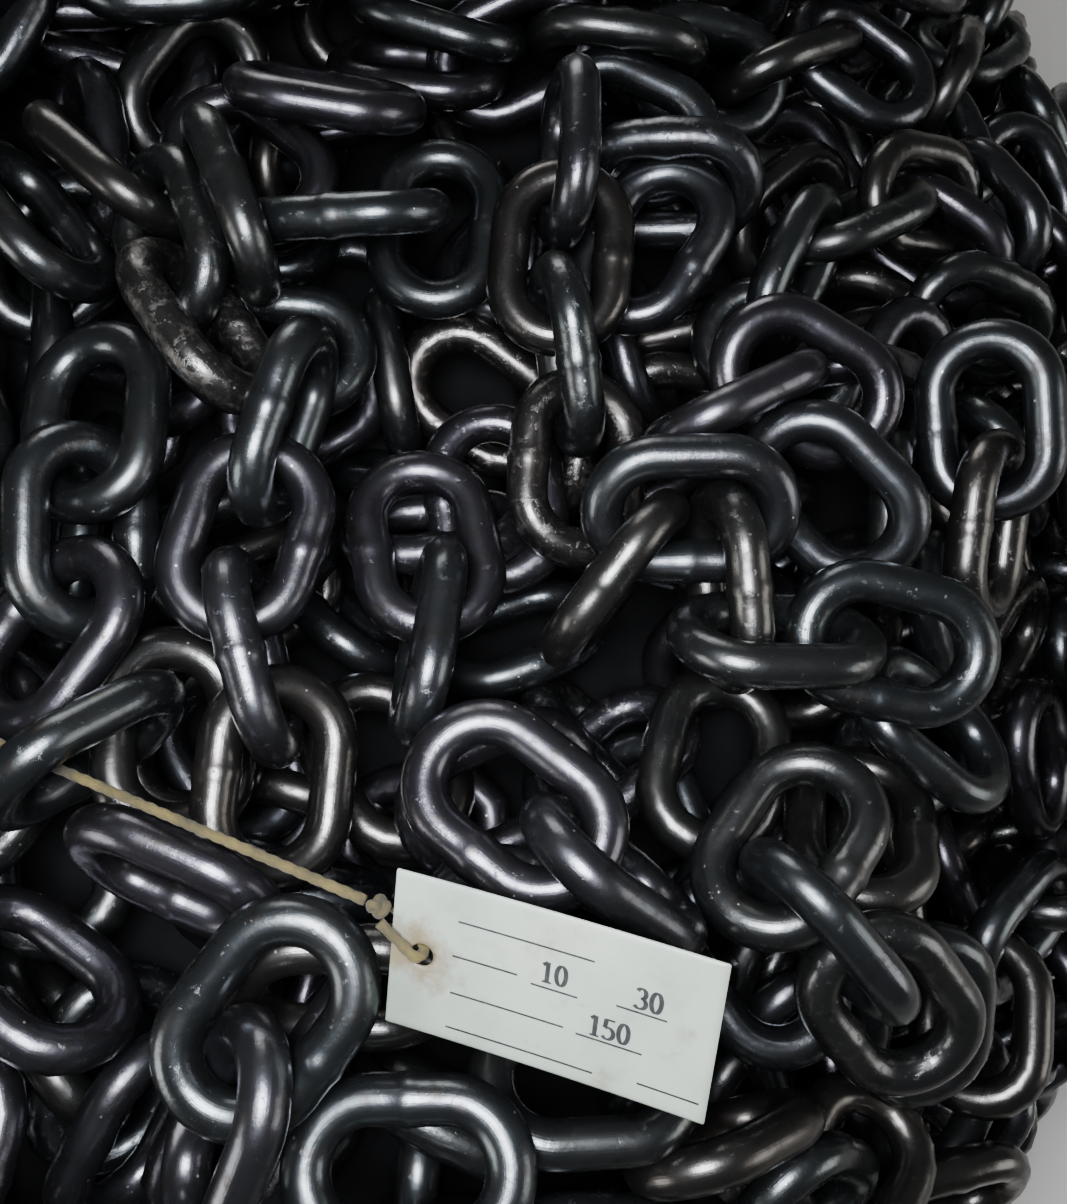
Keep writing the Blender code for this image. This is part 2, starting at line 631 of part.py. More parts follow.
def link_mesh():
    """A ring of round wire swept round the link's centreline, shared by every link."""
    count = len(CENTRELINE)
    vertices = []
    for index in range(count):
        before = CENTRELINE[index - 1]
        after = CENTRELINE[(index + 1) % count]
        along = unit(after - before)
        outward = np.array((along[1], -along[0], 0.0))
        for side in range(WIRE_SIDES):
            angle = 2.0 * math.pi * side / WIRE_SIDES
            offset = outward * math.cos(angle) + np.array((0.0, 0.0, math.sin(angle)))
            vertices.append(CENTRELINE[index] + 0.5 * WIRE * offset)
    faces = []
    for index in range(count):
        here = index * WIRE_SIDES
        there = (index + 1) % count * WIRE_SIDES
        for side in range(WIRE_SIDES):
            following = (side + 1) % WIRE_SIDES
            faces.append((here + side, there + side, there + following, here + following))
    return vertices, faces


def tag_frame():
    """The tag's middle and its frame: long side, width and the way its face looks."""
    middle = on_heap(*TAG_MIDDLE, TAG_LIFT)
    to_view = unit(VIEWPOINT - middle)
    right = unit(np.array((1.0, 0.0, 0.0)) - to_view * to_view[0])
    up = np.cross(to_view, right)
    level = right * math.cos(TAG_SLOPE) + up * math.sin(TAG_SLOPE)
    across = np.cross(to_view, level)
    long_side = level * math.cos(TAG_TIP) + to_view * math.sin(TAG_TIP)
    width = across * math.cos(TAG_LEAN) - np.cross(long_side, across) * math.sin(TAG_LEAN)
    return middle, np.stack((long_side, width, np.cross(long_side, width)), axis=1)


def tag_plate(frame_middle, frame, material):
    """The tag: a thin plate with one round hole near its left end."""
    made = bmesh.new()
    hole_middle = Vector((-0.5 * TAG_LENGTH + TAG_HOLE_INSET, 0.0, 0.0))
    hole = [
        hole_middle + 0.5 * TAG_HOLE * Vector((math.cos(angle), math.sin(angle), 0.0))
        for angle in (2.0 * math.pi * step / 16 for step in range(16))
    ]
    rim = [
        Vector((x * 0.5 * TAG_LENGTH, y * 0.5 * TAG_WIDTH, 0.0))
        for x, y in ((-1, -1), (1, -1), (1, 1), (-1, 1))
    ]
    edges = []
    for loop in (rim, hole):
        corners = [made.verts.new(point) for point in loop]
        for index, corner in enumerate(corners):
            edges.append(made.edges.new((corner, corners[(index + 1) % len(corners)])))
    bmesh.ops.triangle_fill(made, edges=edges, use_beauty=True)
    for vertex in made.verts:
        vertex.co.z = -0.5 * TAG_THICKNESS
    lifted = bmesh.ops.extrude_face_region(made, geom=made.faces[:])
    for vertex in (item for item in lifted["geom"] if isinstance(item, bmesh.types.BMVert)):
        vertex.co.z = 0.5 * TAG_THICKNESS
    bmesh.ops.recalc_face_normals(made, faces=made.faces[:])
    for vertex in made.verts:
        vertex.co = Vector(frame_middle + frame @ np.array(vertex.co))
    mesh = bpy.data.meshes.new("tag_plate")
    made.to_mesh(mesh)
    made.free()
    mesh.materials.append(material)
    bpy.context.collection.objects.link(bpy.data.objects.new("tag_plate", mesh))


def knot_place():
    """The knot's middle in the tag's own frame: just off its left end, above the hole."""
    return np.array((-0.5 * (TAG_LENGTH + KNOT) - 2.0 * CLEARANCE, KNOT_SHARE * TAG_WIDTH, 0.0))


def loop_route():
    """The loop's route in the tag's own frame: from the knot, down through the hole and back."""
    hole = np.array((-0.5 * TAG_LENGTH + TAG_HOLE_INSET, 0.0, 0.0))
    knot = knot_place()
    toward_knot = unit(knot - hole)
    off_face = np.array((0.0, 0.0, 0.5 * (TAG_THICKNESS + CORD) + 2.0 * CLEARANCE))
    leave = 0.5 * (KNOT + CORD) - 0.5 * CLEARANCE
    down = unit(hole - knot)
    above = [
        knot + leave * unit(0.7 * down + unit(off_face)),
        hole + 0.45 * np.linalg.norm(knot - hole) * toward_knot + 1.2 * off_face,
        hole + 0.4 * CORD * toward_knot + off_face,
    ]
    mirrored = [point * (1.0, 1.0, -1.0) for point in reversed(above)]
    return above + [hole] + mirrored


def add_ring(name, middle, axis, ring_radius, wire_radius, material):
    """A closed ring of cord round an axis."""
    sideways = unit(np.cross(axis, (0.3, 0.2, 1.0)))
    other = np.cross(axis, sideways)
    vertices = []
    faces = []
    around = 14
    across = 8
    for step in range(around):
        turn = 2.0 * math.pi * step / around
        outward = sideways * math.cos(turn) + other * math.sin(turn)
        for side in range(across):
            angle = 2.0 * math.pi * side / across
            reach = ring_radius + wire_radius * math.cos(angle)
            vertices.append(middle + outward * reach + axis * wire_radius * math.sin(angle))
            following = (side + 1) % across
            here = step * across
            there = (step + 1) % around * across
            faces.append((here + side, there + side, there + following, here + following))
    add_object(name, vertices, faces, material, math.radians(80.0))


def add_knot(name, middle, material):
    """The cord's knot, a small ball."""
    made = bmesh.new()
    bmesh.ops.create_icosphere(made, subdivisions=2, radius=0.5 * KNOT)
    for vertex in made.verts:
        vertex.co += Vector(middle)
    mesh = bpy.data.meshes.new(name)
    made.to_mesh(mesh)
    made.free()
    mesh.materials.append(material)
    mesh.shade_smooth()
    bpy.context.collection.objects.link(bpy.data.objects.new(name, mesh))


def tag_outline(middle, frame):
    """Ribs across the tag, so that the links find it in their way."""
    ribs = []
    for share in (-0.42, -0.14, 0.14, 0.42):
        left = np.array((-0.5 * TAG_LENGTH, share * TAG_WIDTH, 0.0))
        right = left + (TAG_LENGTH, 0.0, 0.0)
        ribs.append(middle + np.stack((left, right)) @ frame.T)
    return ribs


def add_tube(name, points, material):
    """A round cord along points."""
    curve = bpy.data.curves.new(name, "CURVE")
    curve.dimensions = "3D"
    curve.bevel_depth = 0.5 * CORD
    curve.bevel_resolution = 2
    curve.use_fill_caps = True
    curve.materials.append(material)
    spline = curve.splines.new("POLY")
    spline.points.add(len(points) - 1)
    for target, point in zip(spline.points, points):
        target.co = (*point, 1.0)
    bpy.context.collection.objects.link(bpy.data.objects.new(name, curve))


def smooth_route(points, step):
    """Evenly spaced points along a smooth curve through a route's own points."""
    points = np.array(points)
    padded = np.vstack((2 * points[0] - points[1], points, 2 * points[-1] - points[-2]))
    dense = []
    for index in range(1, len(padded) - 2):
        before, here, there, after = padded[index - 1:index + 3]
        for share in np.linspace(0.0, 1.0, 24, endpoint=False):
            dense.append(
                0.5 * (2 * here + (there - before) * share
                       + (2 * before - 5 * here + 4 * there - after) * share ** 2
                       + (3 * here - before - 3 * there + after) * share ** 3)
            )
    dense.append(points[-1])
    dense = np.array(dense)
    walked = np.concatenate(((0.0,), np.cumsum(np.linalg.norm(np.diff(dense, axis=0), axis=1))))
    stops = np.linspace(0.0, walked[-1], max(2, round(walked[-1] / step)) + 1)
    return np.stack([np.interp(stops, walked, dense[:, axis]) for axis in range(3)], axis=1)


def leg_middle(middle, frame):
    """Middle of the leg that the cord is tied round, on the link's right in the picture."""
    side = frame[:, 1] if frame[0, 1] > 0.0 else -frame[:, 1]
    return middle + 0.5 * (EYE_WIDTH + WIRE) * side


def cord_ends(middle, frame, knot):
    """Both ends of the cord's long stretch: just off the hitch round a link's leg, and at the knot."""
    leg = leg_middle(middle, frame)
    along = unit(knot - leg)
    square = unit(along - frame[:, 0] * np.dot(along, frame[:, 0]))
    start = leg + square * (0.5 * WIRE + CORD + 3.0 * CLEARANCE)
    along = unit(knot - start)
    return np.array((start, knot - along * (0.5 * KNOT + CLEARANCE)))


def build():
    """Build the heap's pieces."""
    steel = add_material("chain_steel", (0.055, 0.057, 0.062), 0.32, 0.9)
    card = add_material("tag_card", (0.78, 0.79, 0.76), 0.55, 0.0)
    twine = add_material("tag_twine", (0.50, 0.46, 0.33), 0.75, 0.0)

    tag_middle, tag_axes = tag_frame()
    names, middles, frames = link_frames()
    knot = tag_middle + tag_axes @ knot_place()
    tied = names.index(f"{CORD_RUN}_link_1")
    cord_line = cord_ends(middles[tied], frames[tied], knot)
    obstacles = [(rib, 0.5 * TAG_THICKNESS) for rib in tag_outline(tag_middle, tag_axes)]
    obstacles.append((cord_line, 0.5 * CORD + 3.0 * CLEARANCE))

    seating = Seating(middles, frames)
    for index in range(SEAT_ROUNDS):
        seating.step(SEAT_HOLD * (1.0 - index / SEAT_ROUNDS), 0.0, obstacles, None)
    vertices, faces = core_mesh(seating.corners())
    core = BVHTree.FromPolygons([Vector(vertex) for vertex in vertices], faces)
    for index in range(SETTLE_ROUNDS):
        seating.step(0.0, SETTLE_DROP * (1.0 - index / SETTLE_ROUNDS), obstacles, core)

    add_object("core_heap", vertices, faces, steel, math.radians(40.0))
    wire_vertices, wire_faces = link_mesh()
    wire_vertices = np.array(wire_vertices)
    for index, name in enumerate(names):
        placed = seating.middles[index] + wire_vertices @ seating.frames[index].T
        add_object(name, placed, wire_faces, steel, math.radians(60.0))
    tag_plate(tag_middle, tag_axes, card)
    cord_line = cord_ends(seating.middles[tied], seating.frames[tied], knot)
    stretch = (cord_line[0], np.mean(cord_line, axis=0), cord_line[1])
    add_tube("tag_cord", smooth_route(stretch, 2.5 * CORD), twine)
    loop = smooth_route(loop_route(), 0.6 * CORD)
    add_tube("tag_loop", tag_middle + loop @ tag_axes.T, twine)
    add_knot("cord_knot", knot, twine)
    leg = leg_middle(seating.middles[tied], seating.frames[tied])
    hitch_radius = 0.5 * (WIRE + CORD) + CLEARANCE
    add_ring("cord_hitch", leg, seating.frames[tied][:, 0], hitch_radius, 0.5 * CORD, twine)


for existing in list(bpy.data.objects):
    bpy.data.objects.remove(existing, do_unlink=True)
build()
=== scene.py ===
# %% [markdown]
# # A heap of steel chain
# A dealer's stock of short link chain, thrown down in one heap, with a tag tied to it. About five
# thousand links lie in such a heap. The ones that the reference picture shows stand where the
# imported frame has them, and this file adds the links around and under them, the tag's face, the
# twisted cord and every finish.
#
# Everything is in metres, +Z up, with the floor at z = 0 and the heap's middle at x = y = 0.

# %% Load the frame
import math

import bmesh
import bpy
import numpy as np
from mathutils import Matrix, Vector


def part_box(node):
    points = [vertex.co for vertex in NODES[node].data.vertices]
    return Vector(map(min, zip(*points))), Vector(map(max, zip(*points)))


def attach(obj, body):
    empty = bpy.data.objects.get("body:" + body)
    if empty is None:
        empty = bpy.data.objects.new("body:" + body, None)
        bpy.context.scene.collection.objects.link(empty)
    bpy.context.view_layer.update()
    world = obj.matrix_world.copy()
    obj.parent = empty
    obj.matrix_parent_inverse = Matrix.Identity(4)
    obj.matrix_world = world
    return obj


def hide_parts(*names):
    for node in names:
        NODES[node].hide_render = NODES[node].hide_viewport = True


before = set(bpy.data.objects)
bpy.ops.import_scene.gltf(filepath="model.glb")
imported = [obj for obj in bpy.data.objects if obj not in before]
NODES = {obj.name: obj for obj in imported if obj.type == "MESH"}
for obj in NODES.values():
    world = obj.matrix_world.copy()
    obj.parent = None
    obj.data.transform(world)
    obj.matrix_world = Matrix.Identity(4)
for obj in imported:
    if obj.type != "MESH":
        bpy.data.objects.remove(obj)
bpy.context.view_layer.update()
LINK_NODES = sorted(name for name in NODES if "_link_" in name)
rng = np.random.default_rng(20)
print(len(NODES), "nodes, of which", len(LINK_NODES), "are links")

# %% [markdown]
# ## The camera
# The picture was taken from a hand's width above the heap, looking almost straight down. The
# same eye is set up here first, because later cells ask what it sees: a loose link is only laid
# where it doesn't hide one that the picture shows.

# %% Camera
EYE = np.array((0.165, -0.165, 0.527))
EYE_PITCH = math.radians(75.0)
LENS = 1194.0
PICTURE = (1067, 1204)
EYE_AHEAD = np.array((0.0, math.cos(EYE_PITCH), -math.sin(EYE_PITCH)))
EYE_UP = np.array((0.0, math.sin(EYE_PITCH), math.cos(EYE_PITCH)))
EYE_RIGHT = np.array((1.0, 0.0, 0.0))


def picture_place(points):
    """Where points show in the picture, in its own points, and how far ahead of the eye they are.

    A pinhole: the offset across the view divided by the offset along it, times the lens.
    """
    offset = points - EYE
    ahead = offset @ EYE_AHEAD
    across = 0.5 * PICTURE[0] + LENS * (offset @ EYE_RIGHT) / ahead
    down = 0.5 * PICTURE[1] - LENS * (offset @ EYE_UP) / ahead
    return across, down, ahead


camera_data = bpy.data.cameras.new("eye")
camera_data.sensor_fit = "VERTICAL"
camera_data.sensor_height = 36.0
camera_data.lens = 36.0 * LENS / PICTURE[1]
camera_data.clip_start = 0.01
camera_data.clip_end = 50.0
camera = bpy.data.objects.new("eye", camera_data)
camera.location = EYE
camera.rotation_euler = (0.5 * math.pi - EYE_PITCH, 0.0, 0.0)
bpy.context.scene.collection.objects.link(camera)
bpy.context.scene.camera = camera
print("lens", round(camera_data.lens, 1), "mm on a 36 mm high picture")

# %% [markdown]
# ## One link
# A link is a piece of 10 mm round bar, bent to an oval and butt welded on one leg. Its middle
# line is two straight legs joined by two half circles, so a point on it is a function of one
# number, the way walked along it. A second number goes round the bar, and the two together make
# the whole skin. The weld leaves a low collar, which is the only break in that tube.

# %% The link's own sizes and its middle line
WIRE = 0.010
PITCH = 0.030
EYE_WIDTH = 0.0155
BOW = 0.5 * (EYE_WIDTH + WIRE)
HALF_LEG = 0.5 * (PITCH + WIRE) - BOW
LOOP = 4.0 * HALF_LEG + 2.0 * math.pi * BOW
WELD_HEIGHT = 0.00045
WELD_REACH = 0.0016


def unit(vectors):
    """The same directions at length one, along the last axis."""
    return vectors / np.maximum(np.linalg.norm(vectors, axis=-1, keepdims=True), 1e-12)


def middle_line(walked):
    """Points of a link's middle line and the outward direction there, for distances walked.

    The first leg runs along +x at y = -BOW, then a half circle, the second leg and a half circle.
    """
    half = 0.5 * LOOP
    second = walked >= half
    along = np.where(second, walked - half, walked)
    angle = np.maximum(along - 2.0 * HALF_LEG, 0.0) / BOW - 0.5 * math.pi
    x = np.where(along < 2.0 * HALF_LEG, along - HALF_LEG, HALF_LEG + BOW * np.cos(angle))
    y = BOW * np.sin(angle)
    turn = np.where(second, -1.0, 1.0)
    points = np.stack((turn * x, turn * y, np.zeros_like(x)), axis=-1)
    outward = np.stack((turn * np.cos(angle), turn * np.sin(angle), np.zeros_like(x)), axis=-1)
    return points, outward


def spread_steps(leg_steps, bow_steps):
    """Distances walked that put a given number of steps on each leg and each bow."""
    leg = np.linspace(0.0, 2.0 * HALF_LEG, leg_steps, endpoint=False)
    bow = 2.0 * HALF_LEG + np.linspace(0.0, math.pi * BOW, bow_steps, endpoint=False)
    one_side = np.concatenate((leg, bow))
    return np.concatenate((one_side, one_side + 0.5 * LOOP))


def link_skin(walked, sides, weld):
    """Skin points of one link, as (steps, sides, 3): the bar's radius round its middle line.

    The radius is half the bar, plus a bell shaped collar at the middle of the first leg.
    """
    centre, outward = middle_line(walked)
    round_bar = 2.0 * math.pi * np.arange(sides) / sides
    collar = np.exp(-(((walked - HALF_LEG) / WELD_REACH) ** 2))
    radius = 0.5 * WIRE + (WELD_HEIGHT * collar if weld else 0.0 * collar)
    outward_part = outward[:, None, :] * np.cos(round_bar)[None, :, None]
    upward_part = np.array((0.0, 0.0, 1.0)) * np.sin(round_bar)[None, :, None]
    return centre[:, None, :] + radius[:, None, None] * (outward_part + upward_part)


print("one link's bar is", round(1000 * LOOP, 1), "mm long before it is bent")

# %% [markdown]
# ## Where the frame's links lie
# Each link of the frame is one mesh. Its middle is the average of its corners, and the spread
# of those corners gives its three axes: widest along the link, then across it, and least
# through it. That is all a new, finer link needs to take its place.

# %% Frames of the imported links


def node_points(name):
    """The corners of a frame node's mesh."""
    mesh = NODES[name].data
    points = np.empty(3 * len(mesh.vertices))
    mesh.vertices.foreach_get("co", points)
    return np.unique(points.reshape(-1, 3).round(7), axis=0)


def own_axes(points):
    """Middle of a cloud of points, and its axes as columns from the widest spread to the least."""
    middle = points.mean(axis=0)
    _, axes = np.linalg.eigh((points - middle).T @ (points - middle))
    axes = axes[:, ::-1]
    axes[:, 2] = np.cross(axes[:, 0], axes[:, 1])
    return middle, axes


seen_middles = []
seen_frames = []
for name in LINK_NODES:
    middle, axes = own_axes(node_points(name))
    seen_middles.append(middle)
    seen_frames.append(axes)
seen_middles = np.array(seen_middles)
seen_frames = np.array(seen_frames)
print("first link", LINK_NODES[0], "at", seen_middles[0].round(3))

# %% [markdown]
# ## The heap's shape
# Loose chain slumps to a low dome with a full shoulder. Here it is one formula: the fourth power
# of the share of the radius plus the square of the share of the height is one on the skin. The
# formula's slope gives the way out, and the value over the slope gives the depth.

# %% Depth below the heap's skin
HEAP_RADIUS = 0.420
HEAP_HEIGHT = 0.280
HEAP_FULLNESS = 4.0
LEAST_SLOPE = 0.63
MOUNDS = ((0.190, -0.200, 0.022, 0.075), (0.160, -0.075, -0.018, 0.045))


def mound_lift(across, along):
    """Height of the heap's own rises and hollows, as a sum of bell shapes."""
    lift = 0.0
    for place_x, place_y, height, spread in MOUNDS:
        away = (across - place_x) ** 2 + (along - place_y) ** 2
        lift = lift + height * np.exp(-0.5 * away / spread ** 2)
    return lift


def depth_and_outward(points):
    """How deep points lie under the heap's skin, and the way out from there."""
    x, y = points[..., 0], points[..., 1]
    height = np.maximum(points[..., 2] - mound_lift(x, y), 0.0)
    share = (x ** 2 + y ** 2) / HEAP_RADIUS ** 2
    value = share ** (0.5 * HEAP_FULLNESS) + (height / HEAP_HEIGHT) ** 2
    side = HEAP_FULLNESS * share ** (0.5 * HEAP_FULLNESS - 1.0) / HEAP_RADIUS ** 2
    slope = np.stack((side * x, side * y, 2.0 * height / HEAP_HEIGHT ** 2), axis=-1)
    steepness = np.linalg.norm(slope, axis=-1)
    return (1.0 - value) / np.maximum(steepness, LEAST_SLOPE / HEAP_RADIUS), unit(slope)


print("depth of a point 40 mm under the top", depth_and_outward(np.array((0.0, 0.0, 0.24)))[0].round(3))

# %% [markdown]
# ## Two links against each other
# Laying chain needs one question answered many times: how deep do two bars press into each
# other? Each link's middle line is cut into ten straight pieces, and the two nearest points of
# two such outlines are found piece against piece, for all pairs at once.

# %% Distance between outlines
OUTLINE_STEPS = 4
LINK_REACH = 0.5 * PITCH + WIRE


def link_outline(bow_steps):
    """Corners of a link's closed middle line: each bow is a half circle cut into equal angles."""
    angle = math.pi * (np.arange(bow_steps + 1) / bow_steps - 0.5)
    bow = np.stack((HALF_LEG + BOW * np.cos(angle), BOW * np.sin(angle), np.zeros_like(angle)), axis=1)
    return np.vstack((bow, bow * (-1.0, -1.0, 1.0), bow[:1]))


OUTLINE = link_outline(OUTLINE_STEPS)


def outlines_of(middles, frames):
    """Corners of closed outlines in the scene, one row for each link."""
    return middles[:, None, :] + np.einsum("nij,kj->nki", frames, OUTLINE)


def nearest_on_segments(start_a, run_a, start_b, run_b):
    """Where two sets of segments come nearest, as shares along each.

    The unlimited lines are solved first, then each share is kept on its own segment.
    """
    offset = start_a - start_b
    aa = np.sum(run_a * run_a, axis=-1)
    ab = np.sum(run_a * run_b, axis=-1)
    bb = np.sum(run_b * run_b, axis=-1)
    ao = np.sum(run_a * offset, axis=-1)
    bo = np.sum(run_b * offset, axis=-1)
    spread = np.maximum(aa * bb - ab * ab, 1e-16)
    share_a = np.clip((ab * bo - bb * ao) / spread, 0.0, 1.0)
    share_b = np.clip((ab * share_a + bo) / bb, 0.0, 1.0)
    share_a = np.clip((ab * share_b - ao) / aa, 0.0, 1.0)
    return share_a, share_b


def deepest_contacts(corners_a, corners_b, reach):
    """For each pair of outlines, the points that come nearest, and how far inside reach they are."""
    start_a = corners_a[:, :-1, None, :]
    run_a = corners_a[:, 1:, None, :] - start_a
    start_b = corners_b[:, None, :-1, :]
    run_b = corners_b[:, None, 1:, :] - start_b
    share_a, share_b = nearest_on_segments(start_a, run_a, start_b, run_b)
    points_a = start_a + run_a * share_a[..., None]
    points_b = start_b + run_b * share_b[..., None]
    apart = np.linalg.norm(points_a - points_b, axis=-1)
    count = len(apart)
    nearest = np.argmin(apart.reshape(count, -1), axis=1)
    rows = np.arange(count)
    point_a = points_a.reshape(count, -1, 3)[rows, nearest]
    point_b = points_b.reshape(count, -1, 3)[rows, nearest]
    return point_a, point_b, reach - apart.reshape(count, -1)[rows, nearest]


print("an outline has", len(OUTLINE) - 1, "straight pieces")

# %% [markdown]
# ## The tag's place
# The tag hangs on its cord over the links. Its plane comes from the frame's plate, in the same
# way as a link's, and is turned so that its first axis runs to the picture's right and its
# third looks at the eye. The links that follow have to keep clear of it and of the cord.

# %% Tag and cord in the frame
tag_points = node_points("tag_plate")
tag_middle, tag_axes = own_axes(tag_points)
if tag_axes[0, 0] < 0.0:
    tag_axes[:, 0] *= -1.0
if tag_axes[2, 2] < 0.0:
    tag_axes[:, 2] *= -1.0
tag_axes[:, 1] = np.cross(tag_axes[:, 2], tag_axes[:, 0])
tag_corners = (tag_points - tag_middle) @ tag_axes
tag_span = tag_corners.max(axis=0) - tag_corners.min(axis=0)
tag_middle = tag_middle + tag_axes @ (0.5 * (tag_corners.max(axis=0) + tag_corners.min(axis=0)))
TAG_LENGTH, TAG_WIDTH, TAG_THICKNESS = tag_span

cord_middle, cord_axes = own_axes(node_points("tag_cord"))
cord_along = (node_points("tag_cord") - cord_middle) @ cord_axes[:, 0]
cord_start = cord_middle + cord_axes[:, 0] * cord_along.min()
cord_end = cord_middle + cord_axes[:, 0] * cord_along.max()
if cord_start[0] > cord_end[0]:
    cord_start, cord_end = cord_end, cord_start
CORD = 0.0022
print("tag", (1000 * tag_span).round(1), "mm; cord from", cord_start.round(3), "to", cord_end.round(3))

# %% [markdown]
# ## What hides what
# A coarse grid over the picture keeps how near the eye the nearest known thing is in each of its
# cells. The frame's links, the tag and the cord are entered, and a cell with none of them stays
# endlessly far. A strand that asks this grid may only lie behind known things. The gaps between
# them are left to the single links and to the layers that lie all over the dome.

# %% The picture's cells
CELL = 12
NEAREST_POINT = 0.05
HIDING_SLACK = 0.002
nearest_seen = np.full((PICTURE[1] // CELL + 1, PICTURE[0] // CELL + 1), np.inf)


def cells_of(points):
    """Rows, columns and distances ahead for the points that fall inside the picture."""
    across, down, ahead = picture_place(points.reshape(-1, 3))
    inside = (across >= 0) & (across < PICTURE[0]) & (down >= 0) & (down < PICTURE[1])
    inside = inside & (ahead > NEAREST_POINT)
    return (down[inside] // CELL).astype(int), (across[inside] // CELL).astype(int), ahead[inside]


def enter_in_picture(points):
    """Note points in the cells, where they are nearer than what is known."""
    row, column, ahead = cells_of(points)
    np.minimum.at(nearest_seen, (row, column), ahead)


def shows_itself(middle, turned):
    """Whether a link laid there would show anywhere but behind the known things."""
    row, column, ahead = cells_of(middle + line_samples @ turned.T)
    return bool(np.any(ahead - 0.5 * WIRE < nearest_seen[row, column] - HIDING_SLACK))


line_samples, _ = middle_line(spread_steps(5, 9))
skin_samples = link_skin(spread_steps(10, 18), 8, False).reshape(-1, 3)
for middle, turned in zip(seen_middles, seen_frames):
    enter_in_picture(middle + skin_samples @ turned.T)
tag_grid = np.stack(np.meshgrid(np.linspace(-0.5, 0.5, 60), np.linspace(-0.5, 0.5, 34)), axis=-1)
enter_in_picture(tag_middle + (tag_grid.reshape(-1, 2) * tag_span[:2]) @ tag_axes[:, :2].T)
enter_in_picture(cord_start + (cord_end - cord_start) * np.linspace(0.0, 1.0, 120)[:, None])
print("cells that show a known piece:", int(np.isfinite(nearest_seen).sum()), "of", nearest_seen.size)

# %% [markdown]
# ## Laying strands
# Chain lies in strands: each link hangs in the one before, about a quarter turn round from it.
# A strand's next link is the best of a dozen trials with different bends, rises and rolls. Each
# is measured against all links laid near it and against the tag and the cord. The one that
# presses least and stays nearest its layer is kept, and the strand ends where none fits.

# %% Strands
JOINT_SLACK = 0.0012
SPACING = PITCH - JOINT_SLACK
COVER_SEED = 11
COVER_STARTS = 1500
COVER_LONGEST = 14
COVER_DEPTH = 0.010
COVER_PRESS = 0.0022
COVER_TRIALS = 12
COVER_BEND = 0.65
COVER_RISE = 0.22
COVER_ROLL = 0.30
COVER_STRAY = 0.012
START_STRAY = 0.003
COVER_RETURN = 0.35
STRAY_COST = 0.12
MOST_BEND = 1.4
MOST_RISE = 1.1
FREE_FIELD = (-250, 1210, -150, 1400)


def in_free_field(middle, turned):
    """Whether a link lies in the part of the picture plane that is kept free of cover links."""
    across, down, ahead = picture_place(middle)
    left, right, top, bottom = FREE_FIELD
    return ahead > 0.0 and left < across < right and top < down < bottom


def frames_along(headings, rolls, outward):
    """Frames with their long sides along the headings and their faces rolled from the way out."""
    level = unit(outward - headings * np.sum(headings * outward, axis=-1, keepdims=True))
    sideways = np.cross(level, headings)
    face = level * np.cos(rolls)[:, None] + sideways * np.sin(rolls)[:, None]
    return np.stack((headings, np.cross(face, headings), face), axis=-1)


